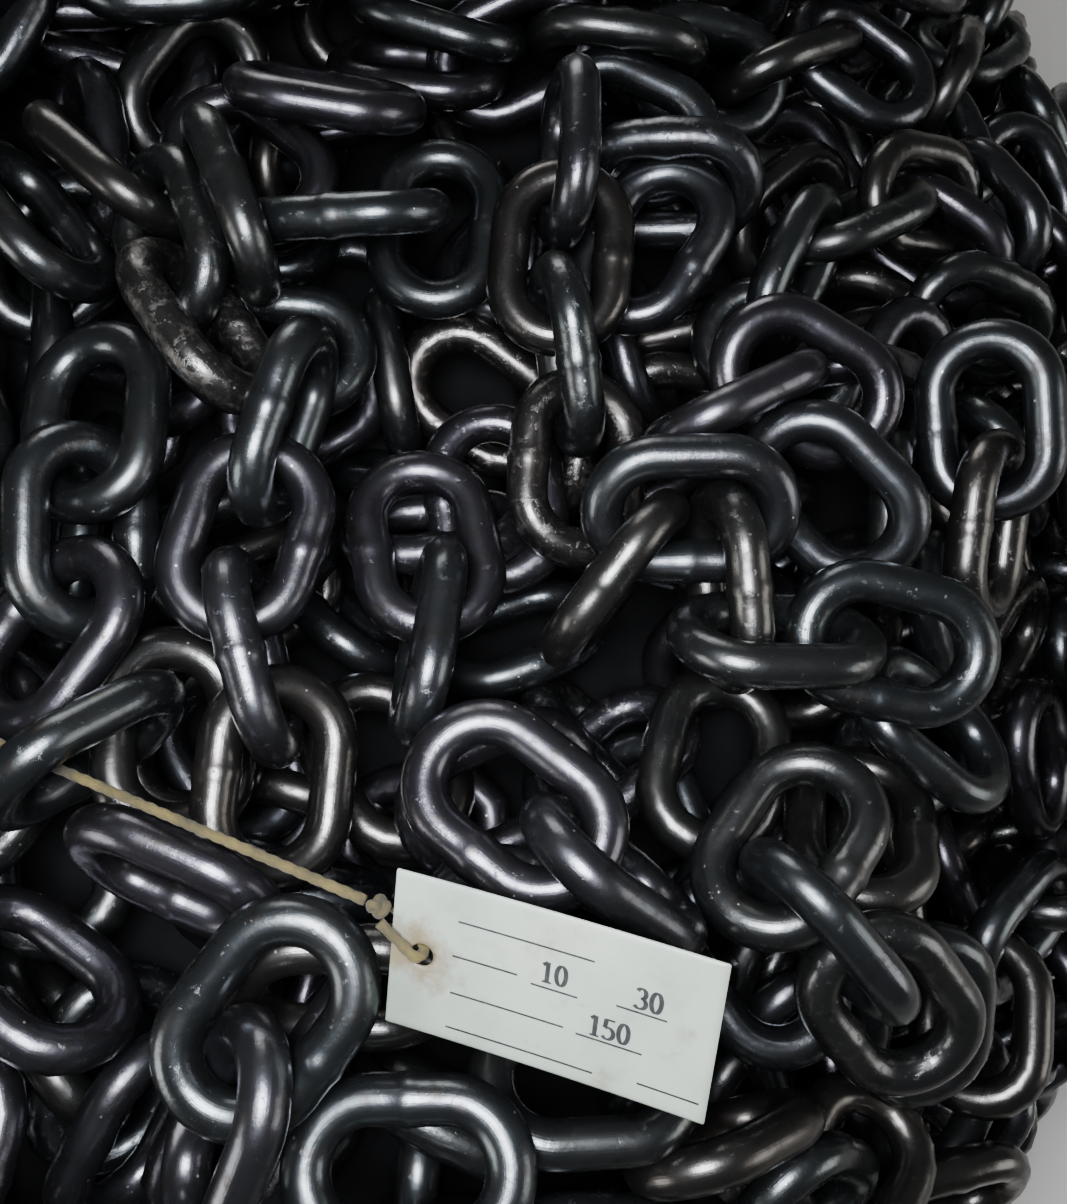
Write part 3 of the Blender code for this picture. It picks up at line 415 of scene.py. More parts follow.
class Strands:
    """All links laid so far, with what is needed to lay more between them."""

    def __init__(self):
        self.chance = np.random.default_rng(COVER_SEED)
        self.middles = np.zeros((0, 3))
        self.frames = np.zeros((0, 3, 3))
        self.corners = np.zeros((0, len(OUTLINE), 3))
        self.still_lines = np.zeros((0, len(OUTLINE), 3))
        self.still_reach = np.zeros(0)

    def add(self, middles, frames):
        """Enter laid links, and give the last one's number."""
        self.middles = np.concatenate((self.middles, middles))
        self.frames = np.concatenate((self.frames, frames))
        self.corners = np.concatenate((self.corners, outlines_of(middles, frames)))
        return len(self.middles) - 1

    def deepest_press(self, middles, frames, skip):
        """How far each trial presses into the laid links and the still lines, at its worst."""
        corners = outlines_of(middles, frames)
        centre = middles.mean(axis=0)
        close = np.linalg.norm(self.middles - centre, axis=1) < PITCH + 3.0 * WIRE
        if skip is not None:
            close[skip] = False
        others = self.corners[close]
        reach = np.full(len(others), WIRE)
        if np.any(np.linalg.norm(self.still_lines - centre, axis=-1) < PITCH + WIRE):
            others = np.concatenate((others, self.still_lines))
            reach = np.concatenate((reach, self.still_reach))
        if len(others) == 0:
            return np.full(len(corners), -WIRE)
        left = np.repeat(corners, len(others), axis=0)
        right = np.tile(others, (len(corners), 1, 1))
        _, _, depth = deepest_contacts(left, right, WIRE)
        return np.max(depth.reshape(len(corners), -1) + (reach - WIRE), axis=1)

    def lay_strand(self, joint, heading, roll, goal, longest, most_press, refused, tries, skip=None):
        """Lay links from a joint on, each the best of its trials, until none fits, and count them."""
        for count in range(longest):
            depth, outward = depth_and_outward(joint)
            bend = self.chance.normal(0.0, COVER_BEND, COVER_TRIALS)
            bend = np.clip(bend, -MOST_BEND, MOST_BEND)
            rise = self.chance.normal(0.0, COVER_RISE, COVER_TRIALS)
            rise = rise + COVER_RETURN * np.clip((depth - goal) / COVER_STRAY, -1.5, 1.5)
            flat = unit(heading - outward * np.dot(heading, outward))
            across = np.cross(outward, flat)
            headings = flat * np.cos(bend)[:, None] + across * np.sin(bend)[:, None]
            headings = unit(headings + outward * np.tan(np.clip(rise, -MOST_RISE, MOST_RISE))[:, None])
            rolls = roll + 0.5 * math.pi + self.chance.normal(0.0, COVER_ROLL, COVER_TRIALS)
            frames = frames_along(headings, rolls, outward)
            middles = joint + headings * (0.5 * SPACING)
            lowest = np.min(middles[:, None, 2] + frames[:, 2] @ OUTLINE.T, axis=1)
            off_layer = np.abs(depth_and_outward(middles)[0] - goal)
            press = self.deepest_press(middles, frames, skip)
            cost = np.maximum(press, 0.0) + STRAY_COST * off_layer + 2.0 * WIRE * (lowest < 0.5 * WIRE)
            for best in np.argsort(cost)[:tries]:
                fits = press[best] < most_press and off_layer[best] < COVER_STRAY
                fits = fits and lowest[best] >= 0.5 * WIRE
                if fits and not refused(middles[best], frames[best]):
                    break
            else:
                return count
            skip = self.add(middles[best][None], frames[best][None])
            joint = joint + headings[best] * SPACING
            heading = headings[best]
            roll = rolls[best]
        return longest

    def lay_over(self, starts, goal, longest, most_press, refused, tries):
        """Start strands all over the dome at one depth, and count their links."""
        before = len(self.middles)
        for _ in range(starts):
            point = self.chance.uniform(-1.0, 1.0, 3) * (HEAP_RADIUS, HEAP_RADIUS, 0.5 * HEAP_HEIGHT)
            point[2] += 0.6 * HEAP_HEIGHT
            for _ in range(4):
                depth, outward = depth_and_outward(point)
                point = point + outward * (depth - goal)
            spread = self.chance.normal(0.0, 1.0, 3)
            roll = self.chance.uniform(0.0, math.pi)
            if abs(depth_and_outward(point)[0] - goal) < START_STRAY and point[2] > WIRE:
                heading = unit(np.cross(outward, spread))
                self.lay_strand(point, heading, roll, goal, longest, most_press, refused, tries)
        return len(self.middles) - before


# %% [markdown]
# ## The cover
# The frame's core has the upper sides of one layer of strands in its skin, round the sides and
# the back. The same strands are laid here from the same numbers, so that each fine link comes to
# lie on its own rise in the core.

# %% Cover strands
strands = Strands()
cover_count = strands.lay_over(
    COVER_STARTS, COVER_DEPTH, COVER_LONGEST, COVER_PRESS, refused=in_free_field, tries=1
)
print("the cover has", cover_count, "links")

# %% [markdown]
# ## Single links seen between the others
# Some links show only as a short bar or a bow between the larger ones. Each is given by the two
# places in the picture where its neighbours would hang, and by its turn about that line: 0 shows
# its face and 90 its edge. It goes where it presses least into its neighbours, the upper places
# first.

# %% The frame's links, the tag and the cord join in
strands.add(seen_middles, seen_frames)
seen_first = cover_count
rib_walk = np.linspace(-0.5, 0.5, len(OUTLINE))[:, None]
RIB_SHARES = np.linspace(-0.48, 0.48, 9)
tag_ribs = [
    tag_middle + rib_walk * TAG_LENGTH * tag_axes[:, 0] + share * TAG_WIDTH * tag_axes[:, 1]
    for share in RIB_SHARES
]
strands.still_lines = np.array(tag_ribs + [cord_start + (rib_walk + 0.5) * (cord_end - cord_start)])
still_thick = np.array([TAG_THICKNESS] * len(tag_ribs) + [CORD])
strands.still_reach = 0.5 * (WIRE + still_thick)

# %% Links listed one by one
SINGLES = (
    (15, 832, 582, 950, 582), (85, 90, -20, 86, 50), (50, 10, 185, 90, 235),
    (55, 348, 255, 418, 305), (85, 388, 318, 402, 395), (10, 250, 340, 362, 345),
    (70, 1048, 500, 1068, 600), (40, 1012, 708, 1095, 718), (55, 470, 640, 550, 612),
    (10, 368, 712, 420, 800), (25, 118, 1010, 92, 1120), (85, 285, 1082, 330, 1015),
    (60, -10, 935, 75, 1010), (65, -5, 985, 58, 1085), (75, 140, 1108, 95, 1200),
    (80, 968, 812, 994, 918), (30, 1030, 1030, 1110, 1035), (45, 842, 1118, 935, 1108),
    (60, 600, 785, 672, 745), (0, 755, 715, 740, 800), (85, 425, 1165, 425, 1290),
)
SINGLE_PRESS = 0.0040
GOOD_PRESS = 0.0015
SINGLE_LIFTS = np.arange(-0.004, -0.040, -0.004)
SINGLE_ROLL = 0.2
SINGLE_STRAY = 0.0015
SINGLE_TRIALS = 24
HALVINGS = 32


def on_heap(across, down, lift):
    """The point behind a place in the picture that lies a lift above the heap's skin, by halving."""
    right, up = (across - 0.5 * PICTURE[0]) / LENS, (0.5 * PICTURE[1] - down) / LENS
    sight = EYE_AHEAD + EYE_RIGHT * right + EYE_UP * up
    near, far = 0.0, EYE[2] / -sight[2]
    for _ in range(HALVINGS):
        halfway = 0.5 * (near + far)
        point = EYE + sight * halfway
        above = depth_and_outward(point)[0] < -lift
        near, far = (halfway, far) if above else (near, halfway)
    return EYE + sight * near


def lay_single(turn, across_a, down_a, across_b, down_b):
    """Try one link at falling heights, with small changes of turn, and keep the best that fits."""
    best_press = SINGLE_PRESS
    kept = None
    for lift in SINGLE_LIFTS:
        joint_a = on_heap(across_a, down_a, lift)
        joint_b = on_heap(across_b, down_b, lift)
        middle = 0.5 * (joint_a + joint_b)
        heading = unit(joint_b - joint_a)
        rolls = math.radians(turn) + strands.chance.normal(0.0, SINGLE_ROLL, SINGLE_TRIALS)
        trial_middles = middle + strands.chance.normal(0.0, SINGLE_STRAY, (SINGLE_TRIALS, 3))
        trial_frames = frames_along(np.tile(heading, (SINGLE_TRIALS, 1)), rolls, unit(EYE - middle))
        press = strands.deepest_press(trial_middles, trial_frames, None)
        best = int(np.argmin(press))
        if press[best] < best_press:
            kept = (trial_middles[best], trial_frames[best])
            best_press = max(press[best], GOOD_PRESS)
    if kept is not None:
        strands.add(kept[0][None], kept[1][None])
    return kept is not None


print(sum(lay_single(*single) for single in SINGLES), "of", len(SINGLES), "single links found room")

# %% [markdown]
# ## Filling between and below
# A row of short strands lies along the floor round the heap's foot. In the part that the picture
# shows, strands are started behind places all over it and its rim, the upper layers first, and
# they stay behind what the picture shows. Three layers all over the dome then fill the gaps.

# %% Strands between, below and along the foot


def lay_in_picture(starts, goal, longest, most_press):
    """Start strands behind places spread over the picture and its rim, and count their links."""
    before = len(strands.middles)
    for _ in range(starts):
        across = strands.chance.uniform(FREE_FIELD[0], FREE_FIELD[1])
        down = strands.chance.uniform(FREE_FIELD[2], FREE_FIELD[3])
        point = on_heap(across, down, -goal)
        _, outward = depth_and_outward(point)
        heading = unit(np.cross(outward, strands.chance.normal(0.0, 1.0, 3)))
        roll = strands.chance.uniform(0.0, math.pi)
        strands.lay_strand(point, heading, roll, goal, longest, most_press, shows_itself, 5)
    return len(strands.middles) - before


def not_refused(middle, turned):
    """No place is refused to the layers that lie all over the dome."""
    return False


def lay_foot(starts, longest, most_press):
    """Start strands along the floor round the heap's foot, and count their links."""
    before = len(strands.middles)
    for _ in range(starts):
        angle = strands.chance.uniform(0.0, 2.0 * math.pi)
        out = HEAP_RADIUS - strands.chance.uniform(-0.004, 0.020)
        height = strands.chance.uniform(0.006, 0.016)
        point = np.array((out * math.cos(angle), out * math.sin(angle), height))
        heading = np.array((-math.sin(angle), math.cos(angle), 0.0)) * strands.chance.choice((-1.0, 1.0))
        roll = strands.chance.uniform(0.0, math.pi)
        strands.lay_strand(point, heading, roll, 0.003, longest, most_press, shows_itself, 5)
    return len(strands.middles) - before


print("along the foot:", lay_foot(500, 5, 0.0035), "links")
for goal, starts, longest, most_press in (
    (0.006, 400, 8, 0.0030), (0.014, 450, 6, 0.0035), (0.022, 450, 5, 0.0040),
    (0.031, 450, 4, 0.0046), (0.043, 400, 4, 0.0048), (0.056, 350, 4, 0.0048),
):
    count = lay_in_picture(starts, goal, longest, most_press)
    print("in the picture at", round(1000 * goal), "mm:", count, "links")
for goal, starts in ((0.019, 900), (0.030, 1000), (0.046, 700)):
    count = strands.lay_over(starts, goal, 8, 0.0042, not_refused, 5)
    print("all over at", round(1000 * goal), "mm:", count, "links")

# %% [markdown]
# ## Letting the links settle
# The trials leave overlaps of up to 5 mm. Here all contacts are resolved together: each
# overlapping pair is pushed apart along the line between its nearest points, half each, and each
# link is turned a little about its middle by the same push. Links are pushed off the tag and the
# cord too, and up from the floor. The frame's links don't move. A slight pull towards the middle
# keeps the heap tight while it loosens.

# %% Settling
LOOK_AGAIN = 8
ROUNDS = 72
TURN_ARM = 0.012
NEAR_MISS = 0.004
TIGHTENING = 0.0001
TIGHT_FROM = 0.02
SKIN_DEPTH = 0.005
SKIN_STEP = 0.002
SKIN_PULL = 0.3
FINE_BOW_STEPS = 16
middles, frames = strands.middles.copy(), strands.frames.copy()
laid = len(middles)
may_move = np.ones(laid, dtype=bool)
may_move[seen_first:seen_first + len(seen_middles)] = False


def close_pairs(reach):
    """Numbers of all pairs of links whose middles are close, where at least one may move."""
    squares = np.sum(middles**2, axis=1)
    apart = squares[:, None] + squares[None, :] - 2.0 * middles @ middles.T
    first, second = np.nonzero(np.triu(apart < reach**2, 1))
    movable = may_move[first] | may_move[second]
    return first[movable], second[movable]


def turned_frames(old, spin):
    """Frames turned by small rotation vectors, and made square again by cross products."""
    new = old + np.cross(spin[:, None, :], old.transpose(0, 2, 1)).transpose(0, 2, 1)
    long_side = unit(new[:, :, 0])
    face = unit(np.cross(long_side, new[:, :, 1]))
    return np.stack((long_side, np.cross(face, long_side), face), axis=-1)


def beside_still_lines():
    """Numbers of links that may move, each with the number of a still line that passes close by."""
    apart = np.linalg.norm(strands.still_lines[None] - middles[:, None, None, :], axis=-1).min(axis=-1)
    return np.nonzero((apart < PITCH + WIRE) & may_move[:, None])


def push_links(first, second, beside, lines):
    """One round: push links apart and off the still lines, and give how deep the worst pair was."""
    corners = outlines_of(middles, frames)
    point_a, point_b, press = deepest_contacts(corners[first], corners[second], WIRE)
    hit = press > 0.0
    a, b = first[hit], second[hit]
    push = unit(point_a[hit] - point_b[hit]) * press[hit][:, None]
    share_a = np.where(may_move[a], np.where(may_move[b], 0.5, 1.0), 0.0)[:, None]
    still_lines = strands.still_lines[lines]
    point_c, still_point, still_press = deepest_contacts(corners[beside], still_lines, WIRE)
    still_press = still_press + strands.still_reach[lines] - WIRE
    off = still_press > 0.0
    still_push = unit(point_c[off] - still_point[off]) * still_press[off][:, None]
    moves = np.zeros((laid, 3))
    spins = np.zeros((laid, 3))
    loads = np.ones(laid)
    pushes = (
        (a, push * share_a, point_a[hit]),
        (b, push * (share_a - 1.0), point_b[hit]),
        (beside[off], still_push, point_c[off]),
    )
    for numbers, force, point in pushes:
        arm = point - middles[numbers]
        stiffness = np.sum(arm**2, axis=1, keepdims=True) + TURN_ARM**2
        np.add.at(moves, numbers, force)
        np.add.at(spins, numbers, np.cross(arm, force) / stiffness)
        np.add.at(loads, numbers, 0.5)
    return moves / loads[:, None], spins / loads[:, None], float(press.max())


def settle(rounds):
    """Push, turn and pull in for a number of rounds."""
    for index in range(rounds):
        if index % LOOK_AGAIN == 0:
            first, second = close_pairs(2.0 * LINK_REACH)
            corners = outlines_of(middles, frames)
            near = deepest_contacts(corners[first], corners[second], WIRE)[2] > -NEAR_MISS
            first, second = first[near], second[near]
            beside, lines = beside_still_lines()
        moves, spins, worst = push_links(first, second, beside, lines)
        depth, outward = depth_and_outward(middles)
        pull = TIGHTENING * (depth > TIGHT_FROM) + SKIN_PULL * np.clip(SKIN_DEPTH - depth, 0.0, SKIN_STEP)
        moves -= outward * pull[:, None]
        lowest = outlines_of(middles, frames)[..., 2].min(axis=1)
        moves[:, 2] += np.maximum(0.5 * WIRE - lowest, 0.0)
        middles[may_move] += moves[may_move]
        frames[may_move] = turned_frames(frames[may_move], spins[may_move])
    return worst


worst = settle(ROUNDS)
true_lowest = np.min(middles[:, None, 2] + frames[:, 2] @ link_outline(FINE_BOW_STEPS).T, axis=1)
middles[may_move, 2] += np.maximum(0.5 * WIRE - true_lowest, 0.0)[may_move]
print(laid, "links; deepest overlap left", round(1000 * worst, 2), "mm")

# %% [markdown]
# ## Deep links behind the gaps
# Through the gaps between the upper links the picture shows more chain, in the dark. The cells
# that still show none are found now, and for each of them a link is tried deep behind it, with its
# bar across the cell. It may press into others by a part of its bar, but like the strands it has
# to stay behind known things, so only few find room. They stay where they are put.

# %% Deep links
DEEP_TRIES = 1500
DEEP_PRESS = 0.0070
DEEPEST = 0.058
LEAST_DEEP = 0.030
DEEP_TRIALS = 16
LOWEST_MIDDLE_LINE = 0.5 * WIRE + 0.001


def bare_cells():
    """Which of the picture's cells show no link yet."""
    skins = strands.middles[:, None, :] + np.einsum("nij,kj->nki", strands.frames, skin_samples)
    row, column, _ = cells_of(skins)
    bare = np.ones(nearest_seen.shape, dtype=bool)
    bare[row, column] = False
    return bare


def lay_deep(bare):
    """Lay one deep link behind a bare cell, if one of its trials fits, and take its cells off."""
    row, column = strands.chance.choice(np.argwhere(bare))
    bare[row, column] = False
    lift = -strands.chance.uniform(LEAST_DEEP, DEEPEST)
    point = on_heap((column + 0.5) * CELL, (row + 0.5) * CELL, lift)
    depth, outward = depth_and_outward(point)
    if depth < LEAST_DEEP - START_STRAY:
        return False
    headings = unit(np.cross(outward, strands.chance.normal(0.0, 1.0, (DEEP_TRIALS, 3))))
    trial_frames = frames_along(headings, strands.chance.uniform(0.0, math.pi, DEEP_TRIALS), outward)
    on_bar = OUTLINE[strands.chance.integers(len(OUTLINE), size=DEEP_TRIALS)]
    trial_middles = point - np.einsum("nij,nj->ni", trial_frames, on_bar)
    lowest = np.min(trial_middles[:, None, 2] + trial_frames[:, 2] @ OUTLINE.T, axis=1)
    press = strands.deepest_press(trial_middles, trial_frames, None)
    press = press + WIRE * (lowest < LOWEST_MIDDLE_LINE)
    best = int(np.argmin(press))
    if press[best] > DEEP_PRESS or shows_itself(trial_middles[best], trial_frames[best]):
        return False
    strands.add(trial_middles[best][None], trial_frames[best][None])
    covered_row, covered_column, _ = cells_of(trial_middles[best] + skin_samples @ trial_frames[best].T)
    bare[covered_row, covered_column] = False
    return True


strands.middles, strands.frames = middles, frames
strands.corners = outlines_of(middles, frames)
bare = bare_cells()
print(int(bare.sum()), "cells of the picture are bare")
deep_count = sum(lay_deep(bare) for _ in range(DEEP_TRIES) if bare.any())
middles, frames = strands.middles, strands.frames
may_move = np.concatenate((may_move, np.ones(deep_count, dtype=bool)))
laid = len(middles)
print(deep_count, "deep links,", int(bare_cells().sum()), "cells stay bare")

# %% [markdown]
# ## Skins for all the links
# All links share one grid, so a piece that holds hundreds of them is one array product: the
# grid's points turned by each link's frame and moved to its middle. Links that the picture shows
# get a fine grid with the weld's collar, and those round the back about a hundred faces. A map
# along and round the bar is kept on the corners, and each link's own lot of tint and dust on its
# points, for the steel to use. Five places in the picture have dustier links than the rest.

# %% Grids and pieces of links
PICTURE_LOOKS = (
    (540, 430, 60, 0.5), (215, 300, 55, 0.5), (360, 870, 45, 0.5),
    (590, 740, 40, 0.4), (1040, 600, 60, 0.4),
)
MOST_CHANCE_DUST = 0.25


def tube_faces(steps, sides, closed):
    """Four-cornered faces of a tube, and for each of their corners its step and its side.

    The steps and sides count on past the last, so that a map can end where the skin closes.
    """
    step, side = np.meshgrid(np.arange(steps if closed else steps - 1), np.arange(sides), indexing="ij")
    step_of = np.stack((step, step + 1, step + 1, step), axis=-1).reshape(-1, 4)
    side_of = np.stack((side, side, side + 1, side + 1), axis=-1).reshape(-1, 4)
    return step_of % steps * sides + side_of % sides, step_of, side_of


def link_grid(leg_steps, bow_steps, sides, weld):
    """Points, four-cornered faces and corner maps of one link's skin, closed both ways."""
    walked = spread_steps(leg_steps, bow_steps)
    skin = link_skin(walked, sides, weld).reshape(-1, 3)
    faces, step_of, side_of = tube_faces(len(walked), sides, True)
    corner_along = np.append(walked, LOOP)[step_of]
    corner_round = side_of * math.pi * WIRE / sides
    return skin, faces, np.stack((corner_along, corner_round), axis=-1).reshape(-1, 2)


def mesh_from_grid(name, points, faces, corner_map=None):
    """A smooth mesh object from arrays of points, four-cornered faces and corner maps."""
    mesh = bpy.data.meshes.new(name)
    mesh.vertices.add(len(points))
    mesh.vertices.foreach_set("co", points.astype(np.float32).ravel())
    mesh.loops.add(faces.size)
    mesh.loops.foreach_set("vertex_index", faces.astype(np.int32).ravel())
    mesh.polygons.add(len(faces))
    mesh.polygons.foreach_set("loop_start", np.arange(0, faces.size, faces.shape[1], dtype=np.int32))
    mesh.update(calc_edges=True)
    mesh.shade_smooth()
    if corner_map is not None:
        mesh.uv_layers.new(name="bar").data.foreach_set("uv", corner_map.astype(np.float32).ravel())
    made = bpy.data.objects.new(name, mesh)
    bpy.context.scene.collection.objects.link(made)
    return made


def links_piece(name, numbers, grid):
    """One piece that holds the numbered links, each with its own lot of tint and dust."""
    skin, faces, corner_map = grid
    placed = np.einsum("nij,kj->nki", frames[numbers], skin) + middles[numbers][:, None, :]
    all_faces = faces[None] + (np.arange(len(numbers)) * len(skin))[:, None, None]
    all_maps = np.tile(corner_map, (len(numbers), 1))
    made = mesh_from_grid(name, placed.reshape(-1, 3), all_faces.reshape(-1, 4), all_maps)
    lot = made.data.attributes.new("lot", "FLOAT_VECTOR", "POINT")
    point_lots = np.repeat(lots[numbers], len(skin), axis=0)
    lot.data.foreach_set("vector", point_lots.astype(np.float32).ravel())
    made.data.materials.append(steel)
    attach(made, "root")
    return made


lots = rng.uniform(0.0, 1.0, (laid, 3))
lots[:, 1] = MOST_CHANCE_DUST * lots[:, 1] ** 3
link_across, link_down, _ = picture_place(middles)
for across, down, spread, dust in PICTURE_LOOKS:
    share = np.exp(-0.5 * ((link_across - across) ** 2 + (link_down - down) ** 2) / spread**2)
    lots[:, 1] = np.maximum(lots[:, 1], dust * share)

# %% [markdown]
# ## The steel
# Short link chain of this grade is drawn alloy steel bar, bent and butt welded link by link, then
# hardened, tempered and dipped in thin black oil. What that gives the eye is a nearly black metal
# with a soft wide sheen, faint draw lines along the bar, thin scale that dulls it in patches, and
# dust that sticks to the oil as pale specks. The tint wanders from link to link between violet,
# green-grey and brown, which are the colours of thin oxide.

# %% Colours and nodes


def colour(hex_text):
    """A linear colour from an sRGB hex value, by the sRGB curve."""
    parts = np.array([int(hex_text[i:i + 2], 16) / 255.0 for i in (1, 3, 5)])
    linear = np.where(parts <= 0.04045, parts / 12.92, ((parts + 0.055) / 1.055) ** 2.4)
    return (*linear, 1.0)


def add_node(tree, kind, settings=None, inputs=None):
    """One node with its settings, and its inputs either set or linked by name or number."""
    node = tree.nodes.new(kind)
    for name, value in (settings or {}).items():
        setattr(node, name, value)
    for name, value in (inputs or {}).items():
        if isinstance(value, bpy.types.NodeSocket):
            tree.links.new(value, node.inputs[name])
        else:
            node.inputs[name].default_value = value
    return node


def object_place(tree):
    """The place on the object, in metres."""
    return add_node(tree, "ShaderNodeTexCoord").outputs["Object"]


def bar_place(tree):
    """The place on the map that a piece carries, in metres along and across."""
    return add_node(tree, "ShaderNodeUVMap", {"uv_map": "bar"}).outputs["UV"]


def noise(tree, place, scale, detail, roughness=0.5, dimensions="3D"):
    """The grey value of a noise at a place."""
    values = {"Vector": place, "Scale": scale, "Detail": detail, "Roughness": roughness}
    settings = {"noise_dimensions": dimensions}
    return add_node(tree, "ShaderNodeTexNoise", settings, values).outputs["Fac"]


def stretched(tree, place, scale, turn=0.0):
    """A place on the map with each direction scaled, and turned by an angle."""
    values = {"Vector": place, "Rotation": (0.0, 0.0, turn), "Scale": scale}
    return add_node(tree, "ShaderNodeMapping", None, values).outputs[0]


def reckon(tree, operation, *values):
    """The result of one step of arithmetic on numbers and sockets."""
    return add_node(tree, "ShaderNodeMath", {"operation": operation}, dict(enumerate(values))).outputs[0]


def carried(tree, value, from_low, from_high, to_low, to_high):
    """A value carried from one range to another, and kept inside it."""
    values = dict(enumerate((value, from_low, from_high, to_low, to_high)))
    return add_node(tree, "ShaderNodeMapRange", None, values).outputs[0]


def blended(tree, share, under, over):
    """One colour with another laid over it by a share."""
    values = {"Factor": share, 6: under, 7: over}
    return add_node(tree, "ShaderNodeMix", {"data_type": "RGBA"}, values).outputs[2]


def ramped(tree, share, stops):
    """The colour that a share picks from stops, each a place and a hex value."""
    ramp = add_node(tree, "ShaderNodeValToRGB", None, {"Fac": share})
    elements = ramp.color_ramp.elements
    while len(elements) < len(stops):
        elements.new(0.5)
    for element, (place, shade) in zip(elements, stops):
        element.position = place
        element.color = colour(shade)
    return ramp.outputs["Color"]


def bumped(tree, strength, distance, height, under=None):
    """The surface direction bent by a height, over another bump where one is given."""
    values = {"Strength": strength, "Distance": distance, "Height": height}
    if under is not None:
        values["Normal"] = under
    return add_node(tree, "ShaderNodeBump", None, values).outputs[0]


def feed(tree, shader, sockets):
    """Link results to the shader's sockets by their names."""
    for name, value in sockets.items():
        tree.links.new(value, shader.inputs[name])


def new_material(name, shader_values):
    """A material with one Principled shader, its constants set on the shader itself."""
    material = bpy.data.materials.new(name)
    material.use_nodes = True
    tree = material.node_tree
    shader = tree.nodes["Principled BSDF"]
    for socket, value in shader_values.items():
        shader.inputs[socket].default_value = value
    return material, tree, shader


# %% Oiled hardened steel
steel, tree, shader = new_material(
    "oiled_hardened_steel", {"Coat Weight": 0.1, "Coat Roughness": 0.26, "Coat IOR": 1.47}
)
place = object_place(tree)
lot_value = add_node(tree, "ShaderNodeAttribute", {"attribute_name": "lot"}).outputs["Vector"]
lot = add_node(tree, "ShaderNodeSeparateXYZ", None, {0: lot_value}).outputs

cloud = noise(tree, place, 55.0, 3.0, 0.55)
tint_share = reckon(tree, "MULTIPLY", reckon(tree, "MULTIPLY_ADD", cloud, 0.5, lot["X"]), 0.68)
tint = ramped(
    tree, tint_share,
    ((0.0, "#423f45"), (0.3, "#4a494d"), (0.5, "#444849"), (0.72, "#494947"), (1.0, "#463f39")),
)
scale_cloud = noise(tree, place, 210.0, 5.0, 0.62)
scale_share = carried(tree, scale_cloud, 0.52, 0.68, 0.0, 1.0)
scaled = blended(tree, scale_share, tint, colour("#33302e"))
dust_edge = reckon(tree, "MULTIPLY_ADD", lot["Y"], 0.34, noise(tree, place, 380.0, 6.0, 0.7))
dust_share = carried(tree, dust_edge, 0.66, 0.90, 0.0, 0.6)
dusty = blended(tree, dust_share, scaled, colour("#4c443d"))
speck_cells = add_node(
    tree, "ShaderNodeTexVoronoi", {"feature": "F1"}, {"Vector": place, "Scale": 260.0}
).outputs
speck_size = reckon(tree, "LESS_THAN", speck_cells["Distance"], 0.075)
speck_pick = add_node(tree, "ShaderNodeSeparateColor", None, {0: speck_cells["Color"]}).outputs[0]
speck = reckon(tree, "MULTIPLY", speck_size, reckon(tree, "GREATER_THAN", speck_pick, 0.84))
speckled = blended(tree, speck, dusty, colour("#c4c4bd"))

rough = carried(tree, cloud, 0.3, 0.7, 0.22, 0.31)
rough = reckon(tree, "MULTIPLY_ADD", scale_share, 0.10, rough)
rough = reckon(tree, "MULTIPLY_ADD", dust_share, 0.25, rough)

drawn = stretched(tree, bar_place(tree), (60.0, 2600.0, 1.0))
relief = bumped(tree, 0.12, 0.0002, noise(tree, drawn, 1.0, 2.0, dimensions="2D"))
relief = bumped(tree, 0.4, 0.0003, scale_cloud, relief)
relief = bumped(tree, 0.5, 0.0004, dust_share, relief)
bare_metal = carried(tree, dust_share, 0.0, 0.6, 0.96, 0.75)
feed(tree, shader, {"Base Color": speckled, "Metallic": bare_metal, "Roughness": rough, "Normal": relief})
print(steel.name, "has", len(tree.nodes), "nodes")

# %% Pieces of links
fine_grid = link_grid(10, 24, 18, True)
middle_grid = link_grid(4, 9, 10, True)
plain_grid = link_grid(2, 5, 7, False)
for place_in_list, name in enumerate(LINK_NODES):
    made = links_piece("fine_" + name, np.array([seen_first + place_in_list]), fine_grid)
    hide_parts(name)

SHOWN_DEPTH = 0.064
PICTURE_MARGIN = 80
LINE_BETWEEN_HALVES = 560.0
SECTORS = 6
loose = np.nonzero(may_move)[0]
depths = depth_and_outward(middles)[0]
in_picture = (link_across > -PICTURE_MARGIN) & (link_across < PICTURE[0] + PICTURE_MARGIN)
in_picture = in_picture & (link_down > -PICTURE_MARGIN) & (link_down < PICTURE[1] + PICTURE_MARGIN)
shown = loose[in_picture[loose] & (depths[loose] < SHOWN_DEPTH)]
rest = np.setdiff1d(loose, shown)
upper = shown[link_down[shown] < LINE_BETWEEN_HALVES]
lower = np.setdiff1d(shown, upper)
links_piece("loose_links_far_half", upper, middle_grid)
links_piece("loose_links_tag_half", lower, middle_grid)
turn_share = np.arctan2(middles[rest, 1], middles[rest, 0]) / (2.0 * math.pi) + 0.5
sector = (turn_share * SECTORS).astype(int) % SECTORS
for index in range(SECTORS):
    links_piece(f"loose_links_side_{index + 1}", rest[sector == index], plain_grid)
print(len(shown), "loose links in the picture and", len(rest), "round the rest")

# %% [markdown]
# ## Under it all
# The inside of the heap is never seen. One dome fills it below the loose links, as a stand-in
# for the thousands of links there. Its near black colour is painted shade: the steel as it looks
# deep in the heap's shadow, not the links' own colour.

# %% Heart of the heap
HEART_DEPTH = 0.044
HEART_HOLLOW = 0.022
HOLLOW_PLACE = (0.165, -0.09)
HOLLOW_SPREAD = 0.13
HEART_LUMPS = 0.004
LUMPS_TURN = 150.0
HEART_TURNS = 96
HEART_RINGS = 28

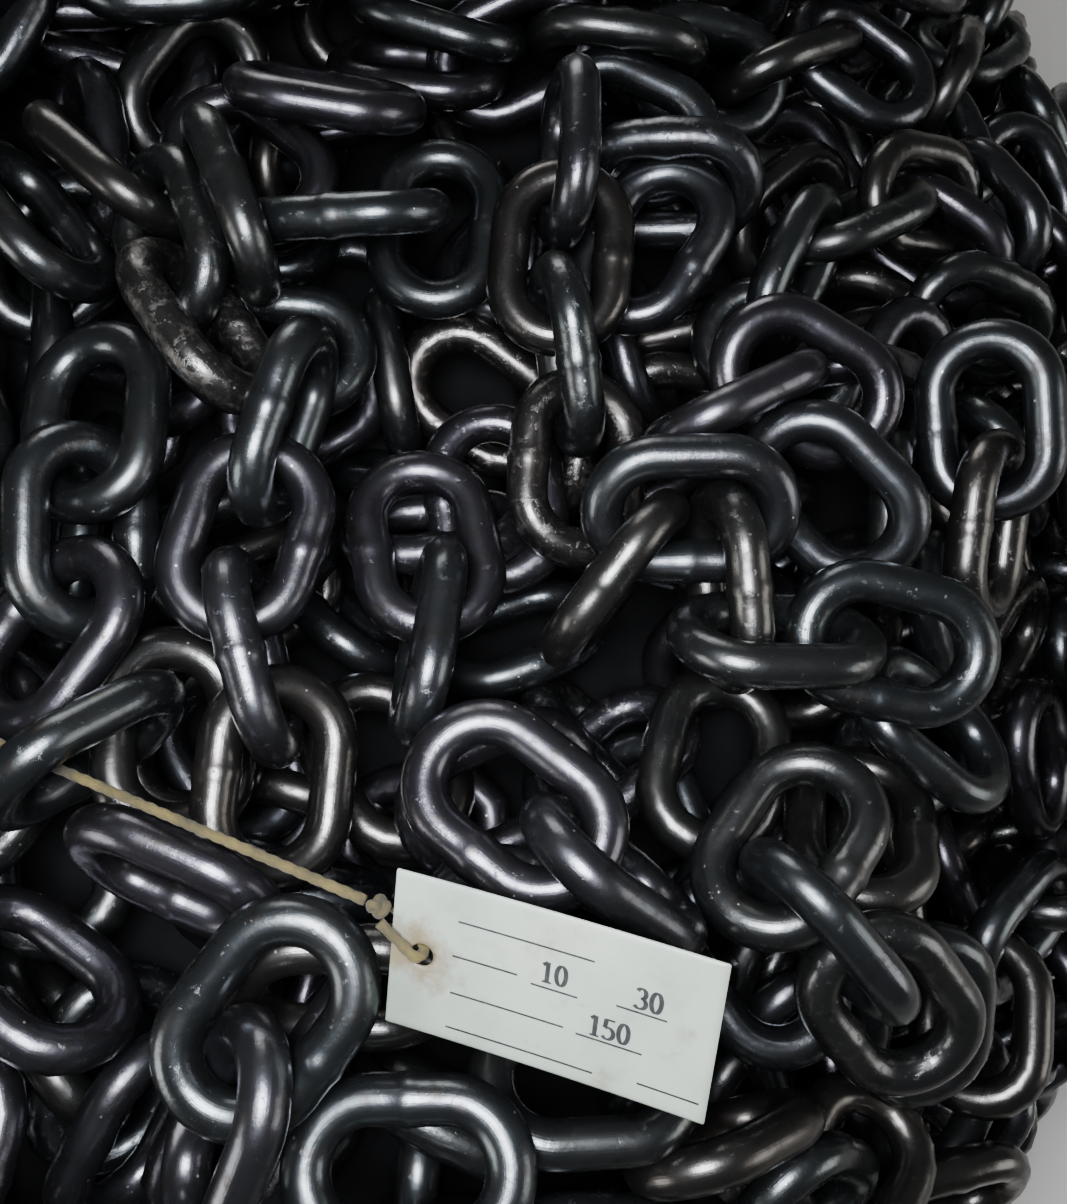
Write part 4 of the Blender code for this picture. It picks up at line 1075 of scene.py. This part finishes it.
round_turns = np.linspace(0.0, 2.0 * math.pi, HEART_TURNS, endpoint=False)
turns, climb = np.meshgrid(round_turns, np.linspace(0.0, 1.0, HEART_RINGS), indexing="ij")
heart_radius = HEAP_RADIUS - HEART_DEPTH
reach = heart_radius * np.sin(0.5 * math.pi * climb) ** 0.8
across, along = reach * np.cos(turns), reach * np.sin(turns)
away = (across - HOLLOW_PLACE[0]) ** 2 + (along - HOLLOW_PLACE[1]) ** 2
hollow = HEART_HOLLOW * np.exp(-0.5 * away / HOLLOW_SPREAD**2)
dome = (HEAP_HEIGHT - HEART_DEPTH) * np.sqrt(np.maximum(1.0 - (reach / heart_radius) ** 4, 0.0))
lumps = HEART_LUMPS * np.sin(LUMPS_TURN * across) * np.sin(LUMPS_TURN * along)
height = np.maximum(dome - hollow + mound_lift(across, along) + lumps, 0.0)
skin = np.stack((across, along, height), axis=-1)
skin[:, -1, 2] = 0.0
turn_index, ring_index = np.meshgrid(np.arange(HEART_TURNS), np.arange(HEART_RINGS - 1), indexing="ij")
here = turn_index * HEART_RINGS + ring_index
there = (turn_index + 1) % HEART_TURNS * HEART_RINGS + ring_index
sides = np.stack((here, here + 1, there + 1, there), axis=-1).reshape(-1, 4)
rim = np.arange(HEART_TURNS) * HEART_RINGS + HEART_RINGS - 1
middle = np.full(HEART_TURNS, skin.shape[0] * skin.shape[1])
half = np.arange(0, HEART_TURNS, 2)
next_rim, second_rim = rim[(half + 1) % HEART_TURNS], rim[(half + 2) % HEART_TURNS]
bottom = np.stack((rim[half], middle[half], second_rim, next_rim), axis=-1)
points = np.vstack((skin.reshape(-1, 3), (0.0, 0.0, 0.0)))
heart = mesh_from_grid("heart_of_heap", points, np.concatenate((sides, bottom)))

shadow_steel, tree, shader = new_material(
    "steel_in_deep_shadow", {"Roughness": 0.9, "Specular IOR Level": 0.1}
)
cloud = noise(tree, object_place(tree), 60.0, 4.0)
# Painted shade: near black, for steel lying deep in shadow between the links.
tint = ramped(tree, cloud, ((0.3, "#020202"), (0.7, "#080808")))
feed(tree, shader, {"Base Color": tint, "Normal": bumped(tree, 0.6, 0.003, cloud)})
heart.data.materials.append(shadow_steel)
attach(heart, "root")
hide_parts("core_heap")

# %% [markdown]
# ## The cord that holds the tag
# The tag is tied on with two-ply jute twine. Its long stretch is pulled tight from the knot at the
# tag to a hitch round one link, and the knot's short loop goes through the hole. A two-ply twine
# is two round strands twisted about each other, so its section is two lobes that turn along it:
# the skin's radius rises and falls twice round, and the phase walks with the length.

# %% Cord tools
PLY_TURN = 0.0062
PLY_LOBE = 0.20
PIECE_STEPS = 24


def walked_along(points):
    """Distance walked to each point of a line."""
    return np.concatenate(((0.0,), np.cumsum(np.linalg.norm(np.diff(points, axis=0), axis=1))))


def smooth_line(points, step):
    """A smooth line through points at even steps: cubic pieces that pass through every point."""
    padded = np.vstack((2 * points[0] - points[1], points, 2 * points[-1] - points[-2]))
    share = np.linspace(0.0, 1.0, PIECE_STEPS, endpoint=False)[None, :, None]
    before, here, there, after = (padded[i:len(padded) - 3 + i, None, :] for i in range(4))
    pieces = 0.5 * (
        2 * here + (there - before) * share + (2 * before - 5 * here + 4 * there - after) * share**2
        + (3 * here - before - 3 * there + after) * share**3
    )
    dense = np.vstack((pieces.reshape(-1, 3), points[-1]))
    walked = walked_along(dense)
    stops = np.linspace(0.0, walked[-1], max(2, round(walked[-1] / step)) + 1)
    return np.stack([np.interp(stops, walked, dense[:, axis]) for axis in range(3)], axis=1)


def twisted_skin(line, radius, sides):
    """Skin of a two-ply cord round a line, as (steps, sides, 3).

    The frame along the line has no twist of its own: each step's side vector is the last one made
    square to the new direction. The radius is 1 - lobe + lobe |cos(angle - phase)| times its own.
    """
    direction = unit(np.gradient(line, axis=0))
    side = unit(np.cross(direction, (0.31, 0.17, 0.93)))
    for index in range(1, len(line)):
        side[index] = unit(side[index - 1] - direction[index] * np.dot(side[index - 1], direction[index]))
    other = np.cross(direction, side)
    angle = 2.0 * math.pi * np.arange(sides) / sides
    phase = 2.0 * math.pi * walked_along(line) / PLY_TURN
    lobes = np.abs(np.cos(angle[None, :] - phase[:, None]))
    reach = radius * (1.0 - PLY_LOBE + PLY_LOBE * lobes)
    return line[:, None, :] + reach[..., None] * (
        side[:, None, :] * np.cos(angle)[None, :, None] + other[:, None, :] * np.sin(angle)[None, :, None]
    )


def cord_piece(name, line, radius, sides, closed=False):
    """A mesh object of twisted cord along a line, with closed ends or run into itself."""
    faces, step_of, side_of = tube_faces(len(line), sides, closed)
    corner_along = walked_along(line)[step_of % len(line)]
    corner_round = side_of * 2.0 * math.pi * radius / sides
    corner_map = np.stack((corner_along, corner_round), axis=-1).reshape(-1, 2)
    skin = twisted_skin(line, radius, sides)
    made = mesh_from_grid(name, skin.reshape(-1, 3), faces, corner_map)
    if not closed:
        edit = bmesh.new()
        edit.from_mesh(made.data)
        bmesh.ops.holes_fill(edit, edges=[edge for edge in edit.edges if edge.is_boundary])
        bmesh.ops.recalc_face_normals(edit, faces=edit.faces[:])
        edit.to_mesh(made.data)
        edit.free()
        made.data.shade_smooth()
    made.data.materials.append(twine)
    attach(made, "root")
    return made


# %% Jute twine
twine, tree, shader = new_material(
    "two_ply_jute_twine", {"Roughness": 0.85, "Sheen Weight": 0.05, "Sheen Roughness": 0.5}
)
fibre_place = stretched(tree, bar_place(tree), (900.0, 6000.0, 1.0), 0.55)
fibres = noise(tree, fibre_place, 1.0, 3.0, dimensions="2D")
soil = noise(tree, object_place(tree), 120.0, 3.0)
tint_share = reckon(tree, "MULTIPLY_ADD", fibres, 0.5, soil)
tint = ramped(tree, tint_share, ((0.5, "#151105"), (0.75, "#383010"), (1.0, "#55491d")))
feed(tree, shader, {"Base Color": tint, "Normal": bumped(tree, 0.7, 0.0002, fibres)})

# %% The cord, its hitch, knot and loop
TAG_HOLE = 0.0046
TAG_HOLE_INSET = 0.0062
KNOT = 0.0052
CLEARANCE = 0.0003
STRETCH_STEP = 0.0006
LOOP_STEP = 0.0005
SMALL_CORD_RADIUS = 0.48 * CORD
KNOT_SIZE = (0.00052, 0.00052, 0.00082)
HITCH_TURNS = 1.9
HITCH_CLIMB = 1.15 * CORD


def to_tag(point):
    """A point of the scene in the tag's own directions, from its middle."""
    return (point - tag_middle) @ tag_axes


def from_tag(points):
    """Points given in the tag's own directions, in the scene."""
    return tag_middle + points @ tag_axes.T


knot_low, knot_high = (np.array(corner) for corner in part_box("cord_knot"))
knot_middle = 0.5 * (knot_low + knot_high)
hitch_middle, hitch_axes = own_axes(node_points("cord_hitch"))

stretch_middle = 0.5 * (cord_start + cord_end)
stretch_line = smooth_line(np.array((cord_start, stretch_middle, cord_end)), STRETCH_STEP)
stretch = cord_piece("tag_cord_twisted", stretch_line, 0.5 * CORD, 20)
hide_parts("tag_cord")

hole_place = np.array((-0.5 * TAG_LENGTH + TAG_HOLE_INSET, 0.0, 0.0))
knot_place = to_tag(knot_middle)
toward_knot = unit(knot_place - hole_place)
off_face = np.array((0.0, 0.0, 0.5 * (TAG_THICKNESS + CORD) + 2.0 * CLEARANCE))
leave = 0.5 * (KNOT + CORD) - 0.5 * CLEARANCE
above = np.array((
    knot_place + leave * unit(unit(off_face) - 0.7 * toward_knot),
    hole_place + 0.45 * np.linalg.norm(knot_place - hole_place) * toward_knot + 1.2 * off_face,
    hole_place + 0.4 * CORD * toward_knot + off_face,
))
loop_line = np.vstack((above, hole_place, above[::-1] * (1.0, 1.0, -1.0)))
loop = cord_piece("tag_loop_twisted", smooth_line(from_tag(loop_line), LOOP_STEP), 0.5 * CORD, 16)
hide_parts("tag_loop")

walk = np.linspace(0.0, 2.0 * math.pi, 120, endpoint=False)
trefoil = np.stack((
    np.sin(walk) + 2.0 * np.sin(2.0 * walk), np.cos(walk) - 2.0 * np.cos(2.0 * walk), -np.sin(3.0 * walk)
), axis=1)
knot_side = np.cross(cord_axes[:, 0], tag_axes[:, 2])
knot_axes = np.stack((cord_axes[:, 0], tag_axes[:, 2], knot_side), axis=1)
knot_line = knot_middle + (trefoil * KNOT_SIZE) @ knot_axes.T
knot = cord_piece("cord_knot_tied", knot_line, SMALL_CORD_RADIUS, 14, closed=True)
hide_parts("cord_knot")

wraps = np.linspace(0.0, 1.0, 90)
wrap_angle = 2.0 * math.pi * HITCH_TURNS * wraps
hitch_radius = 0.5 * (WIRE + CORD) + CLEARANCE
hitch_line = hitch_middle + hitch_radius * (
    np.cos(wrap_angle)[:, None] * hitch_axes[:, 0] + np.sin(wrap_angle)[:, None] * hitch_axes[:, 1]
) + ((wraps - 0.5) * HITCH_CLIMB)[:, None] * hitch_axes[:, 2]
hitch = cord_piece("cord_hitch_wound", hitch_line, SMALL_CORD_RADIUS, 14)
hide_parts("cord_hitch")

# %% [markdown]
# ## The tag
# The tag is a small coated card, stamped out with one hole and a little bowed. Its section runs
# over the face from the hole to the rim, round the edge, back along the other side and through
# the hole, and that closed section is carried round the hole from corner to corner. So the skin
# is one function of the way round and the way along the section, and needs no caps.

# %% Tag sheet
TAG_CORNER = 0.0004
TAG_BOW = 0.00055
HALF_THICK = 0.5 * TAG_THICKNESS


def card_bow(flat_places):
    """How far the card's middle sheet bows up and twists at places on it."""
    x, y = flat_places[..., 0], flat_places[..., 1]
    return TAG_BOW * ((2.0 * x / TAG_LENGTH) ** 2 - 0.4 + 0.8 * (y / TAG_WIDTH) * (x / TAG_LENGTH))


hole_middle = hole_place[:2]
half_size = 0.5 * np.array((TAG_LENGTH, TAG_WIDTH)) - TAG_CORNER
rim_parts = []
for quarter, centre in enumerate(((1, 1), (-1, 1), (-1, -1), (1, -1))):
    corner_turn = 0.5 * math.pi * quarter + np.linspace(0.0, 0.5 * math.pi, 7)
    corner_line = np.stack((np.cos(corner_turn), np.sin(corner_turn)), axis=1)
    rim_parts.append(np.array(centre) * half_size + TAG_CORNER * corner_line)
edges = [
    part[-1] + np.linspace(0.0, 1.0, count)[1:-1, None] * (after[0] - part[-1])
    for part, after, count in zip(rim_parts, rim_parts[1:] + rim_parts[:1], (40, 26, 40, 26))
]
rim_line = np.vstack([piece for pair in zip(rim_parts, edges) for piece in pair])
hole_line = hole_middle + 0.5 * TAG_HOLE * unit(rim_line - hole_middle)
edge_round = 0.3 * TAG_THICKNESS
shares = np.array((0.0, 0.02, 0.06, 0.12, 0.2, 0.3, 0.42, 0.55, 0.68, 0.8, 0.9, 0.97, 1.0))
section_share = np.concatenate((shares, shares[::-1]))
upper_side = np.full(len(shares), HALF_THICK)
upper_side[[0, -1]] -= edge_round
section_height = np.concatenate((upper_side, -upper_side))
share = section_share[None, :, None]
flat = hole_line[:, None, :] * (1.0 - share) + rim_line[:, None, :] * share
height = section_height[None, :] + card_bow(flat)
sheet_points = np.concatenate((flat, height[..., None]), axis=-1).reshape(-1, 3)
sheet_faces = tube_faces(len(rim_line), len(section_share), True)[0][:, ::-1]
sheet_map = (flat.reshape(-1, 2) + 0.5 * np.array((TAG_LENGTH, TAG_WIDTH)))[sheet_faces.ravel()]
tag_sheet = mesh_from_grid("tag_sheet", from_tag(sheet_points), sheet_faces, sheet_map)
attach(tag_sheet, "root")
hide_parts("tag_plate")

# %% Coated card
card, tree, shader = new_material("coated_card", {"Coat Weight": 0.15, "Coat Roughness": 0.35})
place = object_place(tree)
cloud = noise(tree, place, 40.0, 4.0)
tint = ramped(tree, cloud, ((0.3, "#6e766b"), (0.5, "#7d867a"), (0.7, "#889083")))
stain_cloud = noise(tree, place, 150.0, 5.0, 0.65)
hole_on_map = (TAG_HOLE_INSET, 0.5 * TAG_WIDTH, 0.0)
from_hole = add_node(
    tree, "ShaderNodeVectorMath", {"operation": "DISTANCE"}, {0: bar_place(tree), 1: hole_on_map}
).outputs["Value"]
near_hole = carried(tree, from_hole, 0.0022, 0.0095, 0.42, 0.0)
stain_share = carried(tree, reckon(tree, "ADD", near_hole, stain_cloud), 0.60, 0.88, 0.0, 0.85)
stained = blended(tree, stain_share, tint, colour("#57452a"))
soil_share = carried(tree, noise(tree, place, 75.0, 6.0, 0.6), 0.5, 0.75, 0.0, 0.6)
soiled = blended(tree, soil_share, stained, colour("#5f5d45"))
rough = carried(tree, stain_cloud, 0.3, 0.8, 0.42, 0.68)
relief = bumped(tree, 0.15, 0.0003, cloud)
feed(tree, shader, {"Base Color": soiled, "Roughness": rough, "Normal": relief})
tag_sheet.data.materials.append(card)

# %% [markdown]
# ## Print on the tag
# The card is printed like a blank form: thin rules, and the chain's sizes as plain bold figures.
# A figure is drawn as a broad pen draws it. Its strokes are lines, and the pen is wide across and
# thin up and down, so a stroke is thick where it runs upright. Each stroke becomes a low bar of
# ink, four points carried along the line and closed at both ends.

# %% Ink strokes
INK_HEIGHT = 0.00003
FIGURE_HEIGHT = 0.0043
PEN_THIN = 0.00040
PEN_THICK = 0.00088
RULE_STEPS = 20
ARC_POINTS = 30
FIGURE_STEP = 0.62


def arc(x, y, wide, high, start, end):
    """Part of an ellipse round a middle, between two angles in degrees."""
    angle = np.radians(np.linspace(start, end, ARC_POINTS))
    return np.stack((x + wide * np.cos(angle), y + high * np.sin(angle)), axis=1)


def bar(*ends):
    """One straight stroke between its two ends."""
    return np.array(ends)


FIGURES = {
    "0": (arc(0.30, 0.50, 0.21, 0.46, 0.0, 360.0),),
    "1": (bar((0.10, 0.80), (0.30, 0.95)), bar((0.32, 0.97), (0.32, 0.03)), bar((0.12, 0.02), (0.52, 0.02))),
    "3": (arc(0.27, 0.73, 0.19, 0.23, 155.0, -95.0), arc(0.25, 0.27, 0.25, 0.25, 88.0, -150.0)),
    "5": (
        bar((0.14, 0.95), (0.52, 0.95)), bar((0.15, 0.97), (0.11, 0.54)),
        arc(0.25, 0.30, 0.25, 0.28, 122.0, -145.0),
    ),
}


def ink_bar(line):
    """Points and faces of one stroke: a low bar whose width follows how upright the line runs."""
    along = unit(np.gradient(line, axis=0))
    side = np.stack((-along[:, 1], along[:, 0]), axis=1)
    half = 0.5 * (PEN_THIN + (PEN_THICK - PEN_THIN) * np.abs(along[:, 1:]))
    left, right = line + half * side, line - half * side
    section = np.stack((left, right, right, left), axis=1)
    off_card = np.array((INK_HEIGHT, INK_HEIGHT, -INK_HEIGHT, -INK_HEIGHT))
    lift = HALF_THICK + card_bow(section) + off_card
    points = np.concatenate((section, lift[..., None]), axis=-1)
    faces = tube_faces(len(line), 4, False)[0][:, ::-1]
    ends = np.array(((3, 2, 1, 0), 4 * len(line) + np.arange(-4, 0)))
    return points.reshape(-1, 3), np.concatenate((faces, ends))


RULES = (
    (-18.2, 7.8, 9.2), (-18.7, -6.0, 1.9), (-18.5, 3.6, -5.9), (-18.8, 10.0, -13.4),
    (-3.4, 5.5, 1.0), (12.6, 21.9, 1.9), (6.0, 18.4, -6.3), (18.2, 29.6, -12.4),
)
NUMBERS = (("10", 0.8, 4.3), ("30", 18.3, 4.8), ("150", 12.0, -3.4))
MILLIMETRE = 0.001
strokes = [
    MILLIMETRE * np.linspace((start, height), (end, height), RULE_STEPS) for start, end, height in RULES
]
for text, centre, height in NUMBERS:
    half_text = 0.5 * FIGURE_HEIGHT * np.array((FIGURE_STEP * len(text), 1.0))
    start = MILLIMETRE * np.array((centre, height)) - half_text
    for place_in_text, figure in enumerate(text):
        for line in FIGURES[figure]:
            strokes.append(start + FIGURE_HEIGHT * (line + (FIGURE_STEP * place_in_text, 0.0)))
ink_points, ink_faces = [], []
for line in strokes:
    points, faces = ink_bar(line)
    ink_faces.append(faces + sum(len(part) for part in ink_points))
    ink_points.append(points)
tag_print = mesh_from_grid("tag_print", from_tag(np.vstack(ink_points)), np.concatenate(ink_faces))
tag_print.data.shade_flat()

ink, tree, shader = new_material("black_letterpress_ink", {"Roughness": 0.6})
cloud = noise(tree, object_place(tree), 900.0, 3.0)
feed(tree, shader, {"Base Color": ramped(tree, cloud, ((0.35, "#0b0b0c"), (0.75, "#242425")))})
tag_print.data.materials.append(ink)
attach(tag_print, "root")
print("ink strokes:", len(strokes))

# %% [markdown]
# ## Floor and light
# The floor is plain and pale. The main light is a round lamp close beside the eye and a little
# behind it, because the picture was lit by a lamp on the camera: each bar then carries one soft
# streak along the part that faces the eye, and everything between the links goes dark. Three
# large soft lights, low round the heap, and a dim even sky keep the other sides readable.

# %% Floor
floor_corners = np.array(((-3.0, -3.0, 0.0), (3.0, -3.0, 0.0), (3.0, 3.0, 0.0), (-3.0, 3.0, 0.0)))
floor = mesh_from_grid("floor", floor_corners, np.array(((0, 1, 2, 3),)))
floor_paint, tree, shader = new_material(
    "pale_matt_floor", {"Base Color": colour("#d8d5cf"), "Roughness": 0.8}
)
cloud = noise(tree, object_place(tree), 6.0, 2.0)
feed(tree, shader, {"Normal": bumped(tree, 0.05, 0.001, cloud)})
floor.data.materials.append(floor_paint)

# %% Lights


def area_light(name, place, aim, size, watts, shade):
    """A square soft light at a place, turned to look at its aim."""
    data = bpy.data.lights.new(name, "AREA")
    data.size = size
    data.energy = watts
    data.color = colour(shade)[:3]
    made = bpy.data.objects.new(name, data)
    made.location = place
    made.rotation_euler = Vector(np.array(aim) - np.array(place)).to_track_quat("-Z", "Y").to_euler()
    bpy.context.scene.collection.objects.link(made)
    return made


LAMP_BACK = 0.03
LAMP_UP = 0.012
LAMP_LEFT = 0.03
LAMP_SIZE = 0.15
LAMP_SPREAD = math.radians(100.0)
LAMP_WATTS = 1.7
SOFT_SIZE = 1.3
SOFT_AIM = (0.0, 0.0, 0.10)
SOFT_LIGHTS = (
    ("soft_left", (-2.4, -1.4, 0.95), 46.0),
    ("soft_right", (2.7, -0.6, 0.95), 25.0),
    ("soft_back", (-0.4, 2.7, 0.95), 32.0),
)
lamp_place = EYE - EYE_AHEAD * LAMP_BACK + EYE_UP * LAMP_UP - EYE_RIGHT * LAMP_LEFT
lamp_aim = on_heap(430.0, 750.0, 0.0)
lamp = area_light("lamp_by_the_eye", lamp_place, lamp_aim, LAMP_SIZE, LAMP_WATTS, "#f1f5ff")
lamp.data.shape = "DISK"
lamp.data.spread = LAMP_SPREAD
for name, place, watts in SOFT_LIGHTS:
    area_light(name, place, SOFT_AIM, SOFT_SIZE, watts, "#ffffff")
world = bpy.data.worlds.new("even_sky")
world.use_nodes = True
world.node_tree.nodes["Background"].inputs["Color"].default_value = colour("#c9cdd2")
world.node_tree.nodes["Background"].inputs["Strength"].default_value = 0.14
bpy.context.scene.world = world
